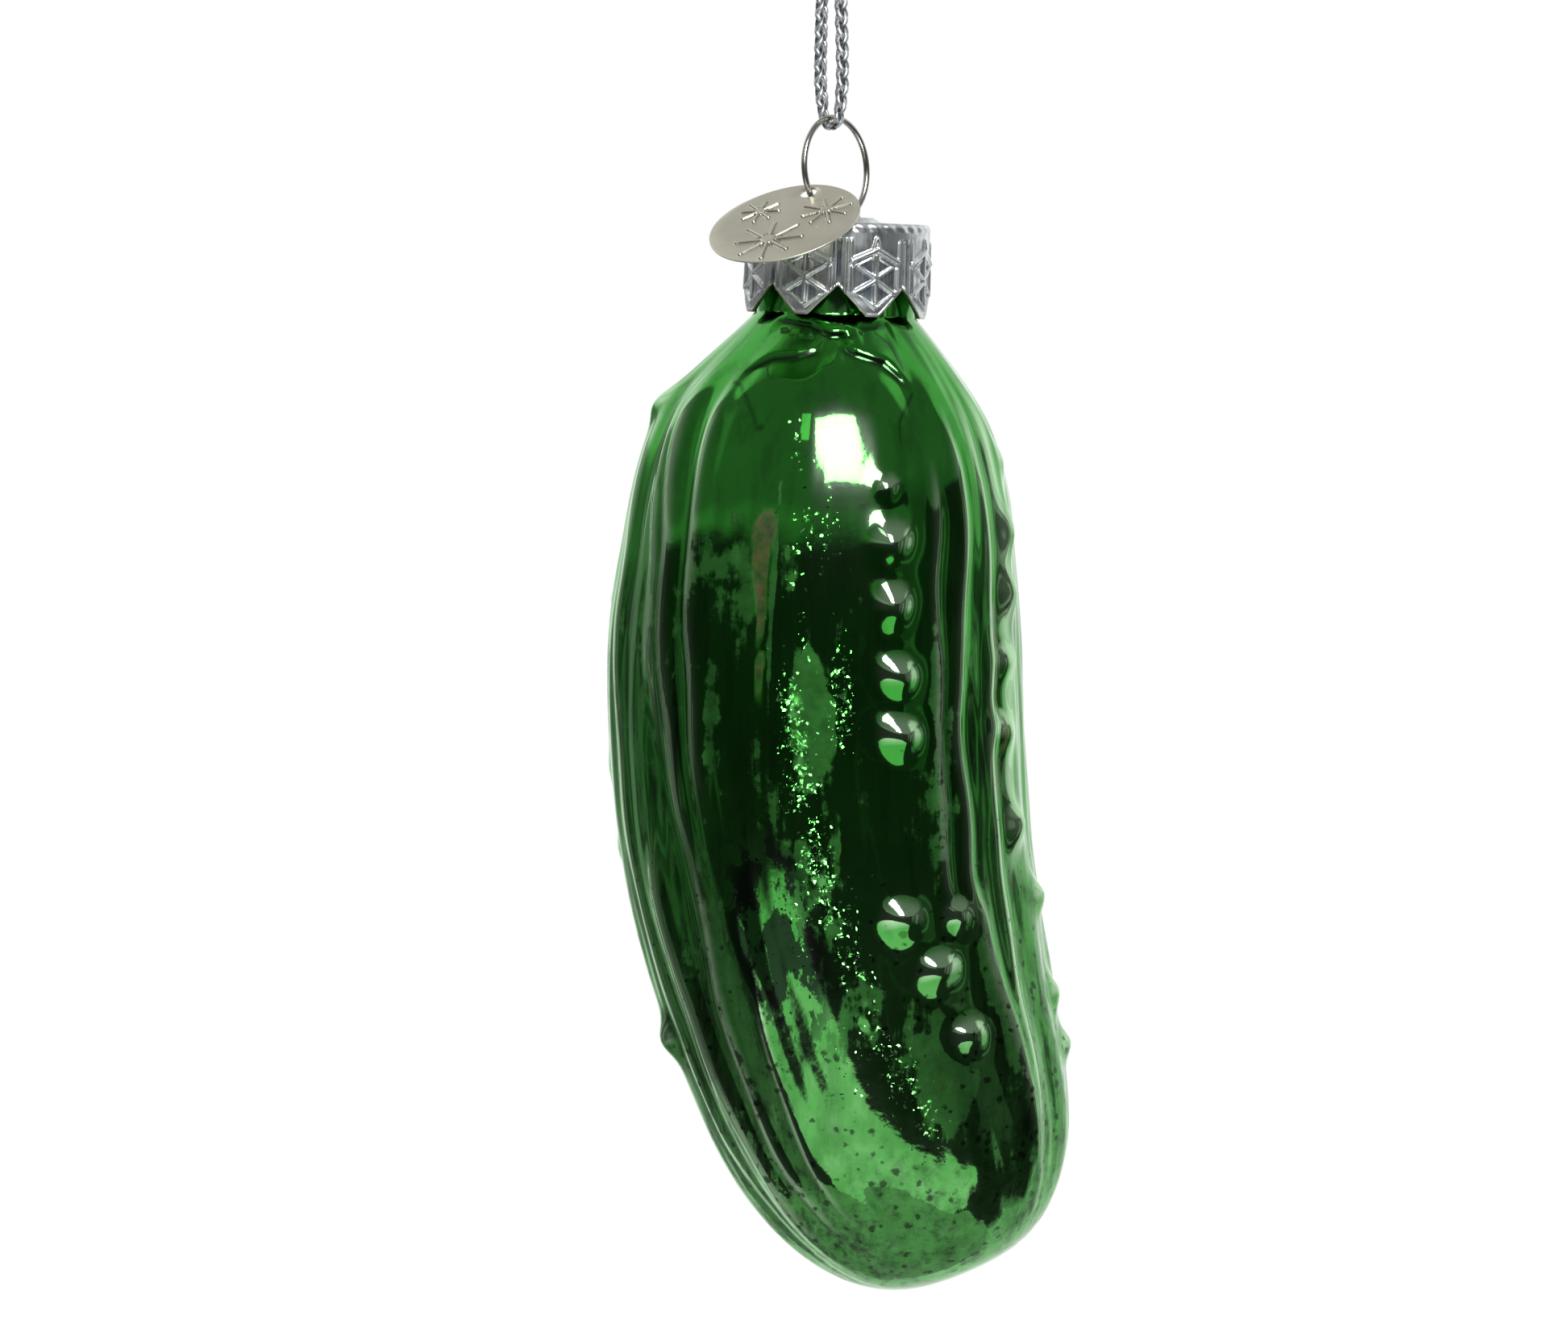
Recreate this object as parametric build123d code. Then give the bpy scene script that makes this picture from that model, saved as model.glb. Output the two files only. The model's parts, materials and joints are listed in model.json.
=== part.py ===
from build123d import *
from math import asin, atan2, cos, degrees, hypot, pi, radians, sin, tan
import os

os.makedirs("parts", exist_ok=True)

# Cord and knot, in mm
cord_diameter = 1.25
loop_drop = 28.0  # hang point under the knot, down to the wire
cord_gap = 0.2  # air between the wire and the cord that goes under it
strand_spread = 2.8  # widest spacing of the two strands, just above the wire
spread_height = 3.4  # height of that widest place over the wire
pinch_height = 1.6  # height over the wire where the strands have closed on it
knot_width = 3.7
knot_height = 4.4
tail_length = 6.0
tail_angle = 22.0

# Spring wire hanger
wire_diameter = 0.6
eye_radius = 4.9  # centre line of the round eye
eye_shoulder = 1.2  # centre line of the two reverse bends above the cap
leg_spacing = 5.4
leg_depth = 8.6  # reach of the sprung legs below the cap's raised centre
leg_bend = 2.0
leg_gap = 0.35  # air between the leg ends and the neck
hanger_turn = 52.0  # eye turned about the vertical
hanger_lean = -5.0  # eye leans to the left at its top

# Stamped cap
cap_lean = 2.5  # neck and cap lean against the cord, as the bent body hangs
sheet = 0.35
boss_radius = 3.2
boss_slope = 0.9
boss_height = 0.45
cap_gap = 0.75  # air between the neck and the skirt
cap_edge = 0.6  # outer radius of the top edge
skirt_flare = 0.2
skirt_height = 9.1
scallops = 8
scallop_depth = 3.0
scallop_tip = 1.4
scallop_turn = 1.6
wire_hole = 1.0

# Blown glass pickle
wall = 1.0
seat_gap = 0.05  # neck mouth below the flat of the cap
neck_radius = 7.7
neck_length = 8.6
neck_flare = 0.9  # slope of the side where the shoulder leaves the neck
shoulder_radius = 15.8
shoulder_length = 10.0
chest_radius = 19.15
chest_length = 14.5
belly_radius = 19.85
belly_length = 22.0
hip_radius = 18.1
hip_length = 24.0
end_radius = 15.35  # to which the taper would run at the very end
end_length = 24.8
round_length = 23.3  # of the rounded end
round_power = 2.7  # 2 is an ellipse, more is blunter
depth_ratio = 0.95  # front to back against side to side
belly_offset = -0.7  # body's centre to the left of the neck
bend_start = 39.3
bend_radius = 114.5
bend_angle = 25.2
rib_count = 14
rib_height = 0.5
rib_turn = -43.0
rib_fade = 14.0
wart_radius = 2.3
wart_proud = 0.9
wart_pitch = 7.0
# each row: heading round the body, first wart's distance below the cap, number of warts
wart_rows = [
    (-67, 25.8, 5),
    (-64, 68.0, 3),
    (-22, 23.2, 5),
    (-20, 62.0, 4),
    (-172, 18.6, 1),
    (-172, 75.0, 2),
    (30, 30.0, 6),
    (75, 26.0, 7),
    (120, 33.0, 6),
    (160, 38.0, 4),
]

# Tag
tag_radius = 7.45
tag_thickness = 0.35
tag_hole = 1.6
tag_margin = 1.65  # hole centre to the edge
tag_hang = 64.0  # place on the eye, up from its foot
tag_heading = -117.0
tag_gap = 0.12
hole_play = 0.3

cord_radius = cord_diameter / 2
wire_radius = wire_diameter / 2
bore_radius = neck_radius - wall
cap_top_radius = neck_radius + cap_gap + sheet
cap_radius = cap_top_radius + skirt_flare
leg_offset = leg_spacing / 2
foot_angle = degrees(asin((leg_offset + eye_shoulder) / (eye_radius + eye_shoulder)))
hanger_height = eye_radius + (eye_radius + eye_shoulder) * cos(radians(foot_angle))
hanger_place = Pos(0, 0, -loop_drop) * Rot(0, hanger_lean, 0)
eye_place = hanger_place * Rot(0, 0, hanger_turn)
boss_centre = (hanger_place * Pos(0, 0, -hanger_height)).position
cap_place = Pos(*boss_centre) * Rot(0, cap_lean, 0)


def on_eye(x, z):
    return (eye_place * Pos(x, 0, z)).position


def on_cap(x, y, z):
    return (cap_place * Pos(x, y, z)).position


def turned(points):
    return revolve(Plane.XZ * make_face(Polyline(*points, close=True)), Axis.Z)


def tube(path, radius):
    start = Plane(path @ 0, z_dir=path % 0)
    return sweep(start * Circle(radius), path=path)


# Cord: down, under the wire, and up again in the plane square to the eye
cord_place = Pos(0, 0, -loop_drop) * Rot(0, 0, hanger_turn - 90)
turn_radius = wire_radius + cord_gap + cord_radius
knot_foot = 0.45
entry_offset = cord_radius + 0.07
strand = [
    (-entry_offset, loop_drop + knot_foot - 0.05),
    (-strand_spread / 2, spread_height),
    (-turn_radius, pinch_height),
    (-turn_radius, -turn_radius),
]
route = strand + [(-x, z) for x, z in reversed(strand)]
route_points = [(cord_place * Pos(x, 0, z)).position for x, z in route]
bends = []
for before, at, after in zip(route_points, route_points[1:], route_points[2:]):
    half_turn = radians((at - before).get_angle(after - at)) / 2
    widest = 0.45 * min((at - before).length, (after - at).length) / tan(half_turn)
    bends.append(turn_radius * 0.97 if half_turn > pi / 5 else widest)
cord_path = FilletPolyline(*route_points, radius=bends)
print("cord radii", [round(bend, 2) for bend in bends])
cord_loop = tube(cord_path, cord_radius)
print("cord length", round(cord_path.length, 2), "turn radius", round(turn_radius, 3))
print("tube volume", round(cord_loop.volume, 2), "section times length", round(pi * cord_radius**2 * cord_path.length, 2))
export_step(cord_loop, "parts/cord_loop.step")

# Knot: a barrel over the two strands, with two tails
knot_top = knot_foot + knot_height
knot_side = ThreePointArc(
    (knot_width * 0.36, knot_foot), (knot_width / 2, knot_foot + knot_height / 2), (knot_width * 0.36, knot_top)
)
knot_line = Polyline((knot_width * 0.36, knot_top), (0, knot_top), (0, knot_foot), (knot_width * 0.36, knot_foot))
knot = revolve(Plane.XZ * make_face([knot_side, *knot_line.edges()]), Axis.Z)
tail = Pos(0, 0, tail_length / 2) * Cylinder(cord_radius, tail_length)
for side in (-1, 1):
    lean = Rot(0, side * tail_angle, 0)
    knot += Rot(0, 0, hanger_turn - 90) * Pos(side * entry_offset, 0, knot_top - cord_radius) * lean * tail
export_step(knot, "parts/cord_knot.step")

# Hanger: leg, reverse bend, round eye, reverse bend, leg
side_point = (eye_radius * sin(radians(foot_angle)), -eye_radius * (1 + cos(radians(foot_angle))))
shoulder_x = (eye_radius + eye_shoulder) * sin(radians(foot_angle))
middle = radians((90 + foot_angle) / 2)
shoulder_point = (shoulder_x - eye_shoulder * sin(middle), -hanger_height + eye_shoulder * cos(middle))
leg_top = (leg_offset, -hanger_height)
leg_end = bore_radius - wire_radius - leg_gap
wire_edges = []
for side in (-1, 1):
    across = side * cos(radians(hanger_turn)), side * sin(radians(hanger_turn))
    corner = on_eye(side * leg_offset, -hanger_height - boss_height - sheet - leg_bend / 2)
    foot = on_cap(across[0] * leg_end, across[1] * leg_end, -leg_depth)
    top = on_eye(side * leg_top[0], leg_top[1])
    leg = FilletPolyline(foot, corner, top, radius=leg_bend)
    bend = ThreePointArc(
        top,
        on_eye(side * shoulder_point[0], shoulder_point[1]),
        on_eye(side * side_point[0], side_point[1]),
    )
    wire_edges += [*leg.edges(), *bend.edges()]
eye = ThreePointArc(on_eye(-side_point[0], side_point[1]), on_eye(0, 0), on_eye(side_point[0], side_point[1]))
wire_path = Wire([*wire_edges, *eye.edges()])
hanger_wire = tube(wire_path, wire_radius)
print("wire length", round(wire_path.length, 2), "volume", round(hanger_wire.volume, 3))
export_step(hanger_wire, "parts/hanger_wire.step")

# Cap: drawn cup with a raised centre, pointed scallops and two holes for the wire
edge_x = cap_top_radius - cap_edge
edge_z = -boss_height - cap_edge
skirt_z = -boss_height - skirt_height
inner_edge = cap_edge - sheet
corner_out = ThreePointArc(
    (edge_x, -boss_height),
    (edge_x + cap_edge * sin(pi / 4), edge_z + cap_edge * cos(pi / 4)),
    (cap_top_radius, edge_z),
)
corner_in = ThreePointArc(
    (cap_top_radius - sheet, edge_z),
    (edge_x + inner_edge * sin(pi / 4), edge_z + inner_edge * cos(pi / 4)),
    (edge_x, -boss_height - sheet),
)
skirt_line = Polyline(
    (cap_top_radius, edge_z), (cap_radius, skirt_z), (cap_radius - sheet, skirt_z), (cap_top_radius - sheet, edge_z)
)
top_line = Polyline(
    (edge_x, -boss_height - sheet),
    (boss_radius + boss_slope, -boss_height - sheet),
    (boss_radius, -sheet),
    (0, -sheet),
    (0, 0),
    (boss_radius, 0),
    (boss_radius + boss_slope, -boss_height),
    (edge_x, -boss_height),
)
cap_face = make_face([*corner_out.edges(), *skirt_line.edges(), *corner_in.edges(), *top_line.edges()])
cap = revolve(Plane.XZ * cap_face, Axis.Z)
notch_half = pi * cap_radius / scallops - scallop_tip / 2
notch_face = make_face(
    Polyline(
        (0, skirt_z + scallop_depth),
        (notch_half, skirt_z),
        (notch_half, skirt_z - 1),
        (-notch_half, skirt_z - 1),
        (-notch_half, skirt_z),
        close=True,
    )
)
notch = extrude(Plane.YZ.offset(cap_radius * 0.75) * notch_face, amount=cap_radius * 0.5)
for k in range(scallops):
    cap -= Rot(0, 0, scallop_turn - 90 + 360 * k / scallops) * notch
for side in (-1, 1):
    at = (cap_place.inverse() * eye_place * Pos(side * leg_offset, 0, -hanger_height)).position
    cap -= Pos(at.X, at.Y, 0) * Cylinder(wire_hole / 2, 4 * sheet)
export_step(cap_place * cap, "parts/cap.step")

# Glass: ribbed sections on a spine that is straight, then bent, then straight
mouth = boss_height + sheet + seat_gap
neck_end = mouth + neck_length
stations = [(neck_end, neck_radius)]
for length, radius in (
    (shoulder_length, shoulder_radius),
    (chest_length, chest_radius),
    (belly_length, belly_radius),
    (hip_length, hip_radius),
    (end_length, end_radius),
):
    stations.append((stations[-1][0] + length, radius))
body_end = stations[-1][0]


def smooth(t):
    t = min(1, max(0, t))
    return t * t * (3 - 2 * t)


def slope(k):
    low, high = stations[max(0, k - 1)], stations[min(len(stations) - 1, k + 1)]
    return (high[1] - low[1]) / (high[0] - low[0]) if k else neck_flare


def side(s):
    k = max(j for j in range(len(stations) - 1) if j == 0 or stations[j][0] <= s)
    (s0, r0), (s1, r1) = stations[k], stations[k + 1]
    t = (s - s0) / (s1 - s0)
    bow = (1 - t) * (slope(k) * (s1 - s0) - r1 + r0) - t * (slope(k + 1) * (s1 - s0) - r1 + r0)
    closing = min(1, max(0, (s - body_end + round_length) / round_length))
    return (r0 + t * (r1 - r0) + t * (1 - t) * bow) * (1 - closing**round_power) ** (1 / round_power)


def spine(s):
    turned_by = min(radians(bend_angle), max(0, (s - bend_start) / bend_radius))
    rest = max(0, s - bend_start - bend_radius * radians(bend_angle))
    shift = belly_offset * smooth((s - neck_end) / shoulder_length)
    x = shift + bend_radius * (1 - cos(turned_by)) + rest * sin(turned_by)
    z = -min(s, bend_start) - bend_radius * sin(turned_by) - rest * cos(turned_by)
    return x, z, turned_by


def body_point(s, heading, radius):
    x, z, turned_by = spine(s)
    across = radius * cos(radians(heading))
    ratio = 1 - (1 - depth_ratio) * smooth((s - neck_end) / shoulder_length)
    return (x + across * cos(turned_by), ratio * radius * sin(radians(heading)), z + across * sin(turned_by))


def rib(s, heading):
    fade = smooth((s - neck_end) / rib_fade) * smooth((body_end - s) / rib_fade)
    return rib_height / 2 * fade * cos(radians(rib_count * (heading - rib_turn)))


def section(s, radius):
    step = 180 / rib_count
    ring = []
    for k in range(rib_count):
        headings = [rib_turn + step * (2 * k + j) for j in (-1, 0, 1)]
        ring.append(ThreePointArc(*[body_point(s, h, radius + rib(s, h)) for h in headings]))
    return make_face([edge for arc in ring for edge in arc.edges()])


def skin(inset, neck_top):
    levels = [neck_end + j * (body_end - round_length - neck_end) / 9 for j in range(9)]
    levels += [body_end - round_length * (1 - sin(radians(12 * j))) for j in range(8)]
    faces = [section(s, side(s) - inset) for s in levels]
    x, z, turned_by = spine(body_end - inset)
    body = loft([*faces, Vertex(x, 0, z)])
    return body + extrude(faces[0], amount=neck_end + neck_top, dir=(0, 0, 1))


glass = skin(0, -mouth)
warts = []
for heading, first, count in wart_rows:
    for k in range(count):
        s = first + wart_pitch * k
        radius = side(s) + rib(s, heading) + wart_proud - wart_radius
        warts.append(Pos(*body_point(s, heading, radius)) * Sphere(wart_radius))
glass = glass.fuse(*warts)
glass -= skin(wall, 1)
export_step(cap_place * glass, "parts/glass_body.step")

# Tag: its hole on the eye, its far side leaning on the cap's top edge
hang = radians(tag_hang)
wire_point = on_eye(-eye_radius * sin(hang), -eye_radius * (1 + cos(hang)))
away = cos(radians(tag_heading)), sin(radians(tag_heading))
edge_point = on_cap(edge_x * away[0], edge_x * away[1], edge_z)
run = (edge_point.X - wire_point.X) * away[0] + (edge_point.Y - wire_point.Y) * away[1]
drop = wire_point.Z - edge_point.Z
lift = cap_edge + tag_gap + tag_thickness / 2
tag_slope = degrees(atan2(drop, run) - asin(lift / hypot(drop, run)))
tag_place = Pos(*wire_point) * Rot(0, 0, tag_heading) * Rot(0, tag_slope, 0)
disc = Pos(hole_play + tag_radius - tag_margin, 0, 0) * Cylinder(tag_radius, tag_thickness)
tag = tag_place * (disc - Pos(hole_play, 0, 0) * Cylinder(tag_hole / 2, 2 * tag_thickness))
export_step(tag, "parts/tag.step")
print("boss centre", boss_centre, "wire at the tag", wire_point, "tag slope", round(tag_slope, 2))
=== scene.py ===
import json
import math

import bpy
import numpy as np
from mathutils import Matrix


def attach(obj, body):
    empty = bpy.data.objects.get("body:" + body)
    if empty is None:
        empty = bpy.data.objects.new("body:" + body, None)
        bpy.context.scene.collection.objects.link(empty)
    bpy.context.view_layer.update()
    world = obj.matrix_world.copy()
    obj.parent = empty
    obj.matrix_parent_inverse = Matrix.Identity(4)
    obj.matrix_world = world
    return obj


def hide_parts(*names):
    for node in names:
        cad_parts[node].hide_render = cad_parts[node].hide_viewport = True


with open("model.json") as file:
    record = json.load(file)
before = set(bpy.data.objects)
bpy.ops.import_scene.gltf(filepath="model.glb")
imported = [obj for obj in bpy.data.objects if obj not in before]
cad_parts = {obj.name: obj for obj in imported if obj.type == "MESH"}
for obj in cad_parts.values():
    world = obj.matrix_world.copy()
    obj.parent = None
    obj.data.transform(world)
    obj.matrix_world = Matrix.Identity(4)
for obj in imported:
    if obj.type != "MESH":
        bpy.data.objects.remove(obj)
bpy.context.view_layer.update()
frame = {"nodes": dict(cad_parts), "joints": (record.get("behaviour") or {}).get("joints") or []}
mm = 0.001  # piece sizes below are in millimetres
joints = {j["name"]: j for j in frame["joints"]}
print("frame loaded:", sorted(frame["nodes"]))


# Shared helpers: shapes

def smoothStep(low, high, value):  # 0 at low, 1 at high, eased between
    t = np.clip((value - low) / (high - low), 0, 1)
    return t * t * (3 - 2 * t)


def turnAbout(axis, degrees):  # rotation matrix about X, Y or Z
    c, s = math.cos(math.radians(degrees)), math.sin(math.radians(degrees))
    i, j = {"x": (1, 2), "y": (2, 0), "z": (0, 1)}[axis]
    m = np.eye(3)
    m[i, i], m[i, j], m[j, i], m[j, j] = c, -s, s, c
    return m


def gridPiece(name, rows, startTip=None, endTip=None, joinRows=False, split=0):
    # rows is (rows, columns, 3) in mm: each row is a closed ring, neighbours are joined by quads,
    # and a tip closes the first or last ring with a fan; split=1 folds the quads along the other diagonal
    rowCount, ringCount = rows.shape[:2]
    points = rows.reshape(-1, 3)
    across = np.arange(ringCount)
    after = (across + 1) % ringCount
    first = np.arange(rowCount if joinRows else rowCount - 1)[:, None]
    nextRow = (first + 1) % rowCount
    quads = np.stack(
        [first * ringCount + across, first * ringCount + after,
         nextRow * ringCount + after, nextRow * ringCount + across], -1).reshape(-1, 4)
    fans = []
    for tip, row, flip in ((startTip, 0, True), (endTip, rowCount - 1, False)):
        if tip is None:
            continue
        middle = np.full(ringCount, len(points))
        points = np.vstack([points, np.reshape(tip, (1, 3))])
        pair = (row * ringCount + across, row * ringCount + after)
        fans.append(np.stack([*(pair[::-1] if flip else pair), middle], -1))
    fans = np.concatenate(fans) if fans else np.zeros((0, 3), int)
    a, b, c, d = (points[quads[:, k]] for k in range(4))
    volume = np.sum(a * np.cross(b, c)) + np.sum(a * np.cross(c, d))
    if len(fans):
        volume += np.sum(points[fans[:, 0]] * np.cross(points[fans[:, 1]], points[fans[:, 2]]))
    if volume < 0:  # faces point outwards
        quads, fans = quads[:, ::-1], fans[:, ::-1]
    return meshPiece(name, points, np.roll(quads, split, axis=1), fans)


def meshPiece(name, points, quads, fans):
    mesh = bpy.data.meshes.new(name)
    corners = np.concatenate([quads.ravel(), fans.ravel()])
    starts = np.concatenate([4 * np.arange(len(quads)), 4 * len(quads) + 3 * np.arange(len(fans))])
    mesh.vertices.add(len(points))
    mesh.loops.add(len(corners))
    mesh.polygons.add(len(starts))
    mesh.vertices.foreach_set("co", (points * mm).astype(np.float32).ravel())
    mesh.loops.foreach_set("vertex_index", corners.astype(np.int32))
    mesh.polygons.foreach_set("loop_start", starts.astype(np.int32))
    mesh.polygons.foreach_set("use_smooth", np.ones(len(starts), bool))
    mesh.update(calc_edges=True)
    piece = bpy.data.objects.new(name, mesh)
    bpy.context.scene.collection.objects.link(piece)
    print("piece", name, len(points), "points")
    return piece


def joinPieces(name, pieces):  # several meshes as one piece
    bpy.ops.object.select_all(action="DESELECT")
    for piece in pieces:
        piece.select_set(True)
    bpy.context.view_layer.objects.active = pieces[0]
    bpy.ops.object.join()
    pieces[0].name = name
    return pieces[0]


def markPoints(piece, name, values):  # a number on each point, which a material reads
    full = np.zeros(len(piece.data.vertices), np.float32)
    flat = np.asarray(values, np.float32).ravel()
    full[: len(flat)] = flat
    piece.data.attributes.new(name, "FLOAT", "POINT").data.foreach_set("value", full)


# Shared helpers: nodes

class NodeKit:  # the calls that the materials and the world repeat, on one node tree
    def __init__(self, tree):
        self.tree = tree

    def add(self, kind, inputs=None, **settings):
        node = self.tree.nodes.new("ShaderNode" + kind)
        for key, value in settings.items():
            setattr(node, key, value)
        for key, value in (inputs or {}).items():
            if isinstance(value, bpy.types.NodeSocket):
                self.tree.links.new(value, node.inputs[key])
            else:
                node.inputs[key].default_value = value
        return node

    def math(self, kind, *values):
        return self.add("Math", dict(enumerate(values)), operation=kind).outputs[0]

    def times(self, first, second):
        return self.math("MULTIPLY", first, second)

    def plus(self, first, second):
        return self.math("ADD", first, second)

    def spread(self, value, low, high, first, last, **settings):  # low to high becomes first to last
        inputs = {"Value": value, 1: low, 2: high, 3: first, 4: last}
        return self.add("MapRange", inputs, **settings).outputs[0]


class Finish(NodeKit):  # a new material: what is the same all over goes straight onto the shader's sockets
    def __init__(self, name, **sockets):
        self.material = bpy.data.materials.new(name)
        self.material.use_nodes = True
        super().__init__(self.material.node_tree)
        self.shader = self.tree.nodes["Principled BSDF"]
        for socket, value in sockets.items():
            self.shader.inputs[socket.replace("_", " ")].default_value = value
        self.spot = self.add("TexCoord").outputs["Object"]

    def mark(self, name):  # a number that markPoints put on the mesh
        return self.add("Attribute", attribute_name=name).outputs["Fac"]

    def stretch(self, *scale, turn=(0.0, 0.0, 0.0)):  # Object coordinates for a pattern that is drawn out
        return self.add("Mapping", {"Vector": self.spot, "Rotation": turn, "Scale": scale}).outputs[0]

    def noise(self, scale, detail, roughness=0.5, at=None, out="Fac"):
        at = self.spot if at is None else at
        settings = {"Vector": at, "Scale": scale, "Detail": detail, "Roughness": roughness}
        return self.add("TexNoise", settings).outputs[out]

    def cells(self, scale, at):
        return self.add("TexVoronoi", {"Vector": at, "Scale": scale, "Randomness": 1.0}).outputs

    def channel(self, colour, name):
        return self.add("SeparateColor", {"Color": colour}).outputs[name]

    def ramp(self, factor, stops):  # stops: (place, grey level or colour)
        node = self.add("ValToRGB", {"Fac": factor})
        elements = node.color_ramp.elements
        while len(elements) < len(stops):
            elements.new(0.5)
        for element, (place, colour) in zip(elements, stops):
            element.position = place
            element.color = (*colour, 1) if isinstance(colour, tuple) else (colour, colour, colour, 1)
        return node.outputs["Color"]

    def mix(self, factor, first, second, mode="MIX"):  # two colours, or sockets that carry them
        first, second = (c if isinstance(c, bpy.types.NodeSocket) else (*c, 1) for c in (first, second))
        return self.add("Mix", {0: factor, 6: first, 7: second}, data_type="RGBA", blend_type=mode).outputs[2]

    def shade(self, first, second, factor=1.0):
        return self.mix(factor, first, second, "MULTIPLY")

    def vector(self, kind, *values):
        return self.add("VectorMath", dict(enumerate(values)), operation=kind).outputs[0]

    def bump(self, height, strength, distance):
        settings = {"Height": height, "Strength": strength, "Distance": distance}
        return self.add("Bump", settings).outputs["Normal"]

    def done(self, **sockets):  # links what varies over the surface
        for socket, value in sockets.items():
            self.tree.links.new(value, self.shader.inputs[socket.replace("_", " ")])
        return self.material


def dress(piece, material, body, slot, *nodes):
    piece.data.materials.clear()
    piece.data.materials.append(material)
    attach(piece, body)
    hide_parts(*nodes)


# Camera: level with the cap, a long lens, the photograph's frame

view = dict(
    imageWidth=1945, imageHeight=1637,
    wirePixel=(1031, 147),  # where the cord goes round the wire
    pixelsPerMm=12.8,
    distance=1200.0, elevation=2.0, sensor=36.0,
    clip=(0.01, 50),
)
wireTop = np.array(joints["swing"]["pos_m"]) / mm


def placeCamera():
    tilt = math.radians(view["elevation"])
    toRight = (view["imageWidth"] / 2 - view["wirePixel"][0]) / view["pixelsPerMm"]
    toDown = (view["imageHeight"] / 2 - view["wirePixel"][1]) / view["pixelsPerMm"]
    aim = wireTop + [toRight, 0, -toDown / math.cos(tilt)]
    data = bpy.data.cameras.new("viewer")
    data.sensor_width = view["sensor"]
    data.lens = view["sensor"] * view["distance"] * view["pixelsPerMm"] / view["imageWidth"]
    data.clip_start, data.clip_end = view["clip"]
    camera = bpy.data.objects.new("viewer", data)
    camera.location = (aim + view["distance"] * np.array([0, -math.cos(tilt), math.sin(tilt)])) * mm
    camera.rotation_euler = (math.pi / 2 - tilt, 0, 0)
    bpy.context.scene.collection.objects.link(camera)
    bpy.context.scene.camera = camera


placeCamera()
print("camera placed")


# Cord: metallic thread braided from six ends, doubled under the wire

cord = dict(
    diameter=1.25, length=60.4,
    planeTurn=-38.0,  # the loop lies square to the wire's eye
    strands=6, lay=5.0,  # each end goes once round in this length
    phase=0.4,  # turn of the left-laid ends against the right-laid ones
    strandRadius=0.265, ringRadius=0.35, weave=0.085,  # over and under of each end
    endLength=0.3, endShare=0.35,  # each end thins to this share over this length
    step=0.14, sides=7, markShift=3.7,
    squeeze=0.68, squeezeReach=1.9, squeezeShift=0.3,  # pressed thin and up against the wire at the bend
    # from the knot down the left strand, in the loop's plane: across, up from the wire
    strand=[(-0.695, 28.40), (-1.245, 9.0), (-1.4, 3.4), (-1.125, 1.6), (-1.125, -1.125)],
)
cordTurn = turnAbout("z", cord["planeTurn"])


def cordSpline(name, points):  # smooth line through control points, read back as points in mm
    curve = bpy.data.curves.new(name, "CURVE")
    curve.dimensions = "3D"
    curve.resolution_u = 40
    spline = curve.splines.new("NURBS")
    spline.points.add(len(points) - 1)
    for target, point in zip(spline.points, points):
        target.co = (*(np.array(point) * mm), 1)
    spline.order_u = 3
    spline.use_endpoint_u = True
    holder = bpy.data.objects.new(name, curve)
    mesh = bpy.data.meshes.new_from_object(holder)
    line = np.zeros(3 * len(mesh.vertices))
    mesh.vertices.foreach_get("co", line)
    bpy.data.objects.remove(holder)
    bpy.data.curves.remove(curve)
    bpy.data.meshes.remove(mesh)
    return line.reshape(-1, 3) / mm


def evenPoints(line, step):  # the line again, with points one step apart
    along = np.concatenate([[0], np.cumsum(np.linalg.norm(np.diff(line, axis=0), axis=1))])
    at = np.linspace(0, along[-1], max(2, int(along[-1] / step) + 1))
    return np.stack([np.interp(at, along, line[:, k]) for k in range(3)], 1), at


def pathFrames(line, hint):  # two directions square to the line at each point, of which hint is nearly one
    tangent = np.gradient(line, axis=0)
    tangent /= np.linalg.norm(tangent, axis=1, keepdims=True)
    second = np.cross(tangent, hint)
    second /= np.linalg.norm(second, axis=1, keepdims=True)
    return second, np.cross(second, tangent)


def roundTube(line, radius, sides, hint):  # circle carried along a line: (points, sides, 3)
    second, third = pathFrames(line, hint)
    turn = np.linspace(0, 2 * np.pi, sides, endpoint=False)
    ring = np.cos(turn)[None, :, None] * second[:, None] + np.sin(turn)[None, :, None] * third[:, None]
    return line[:, None] + np.reshape(radius, (-1, 1, 1)) * ring


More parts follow.
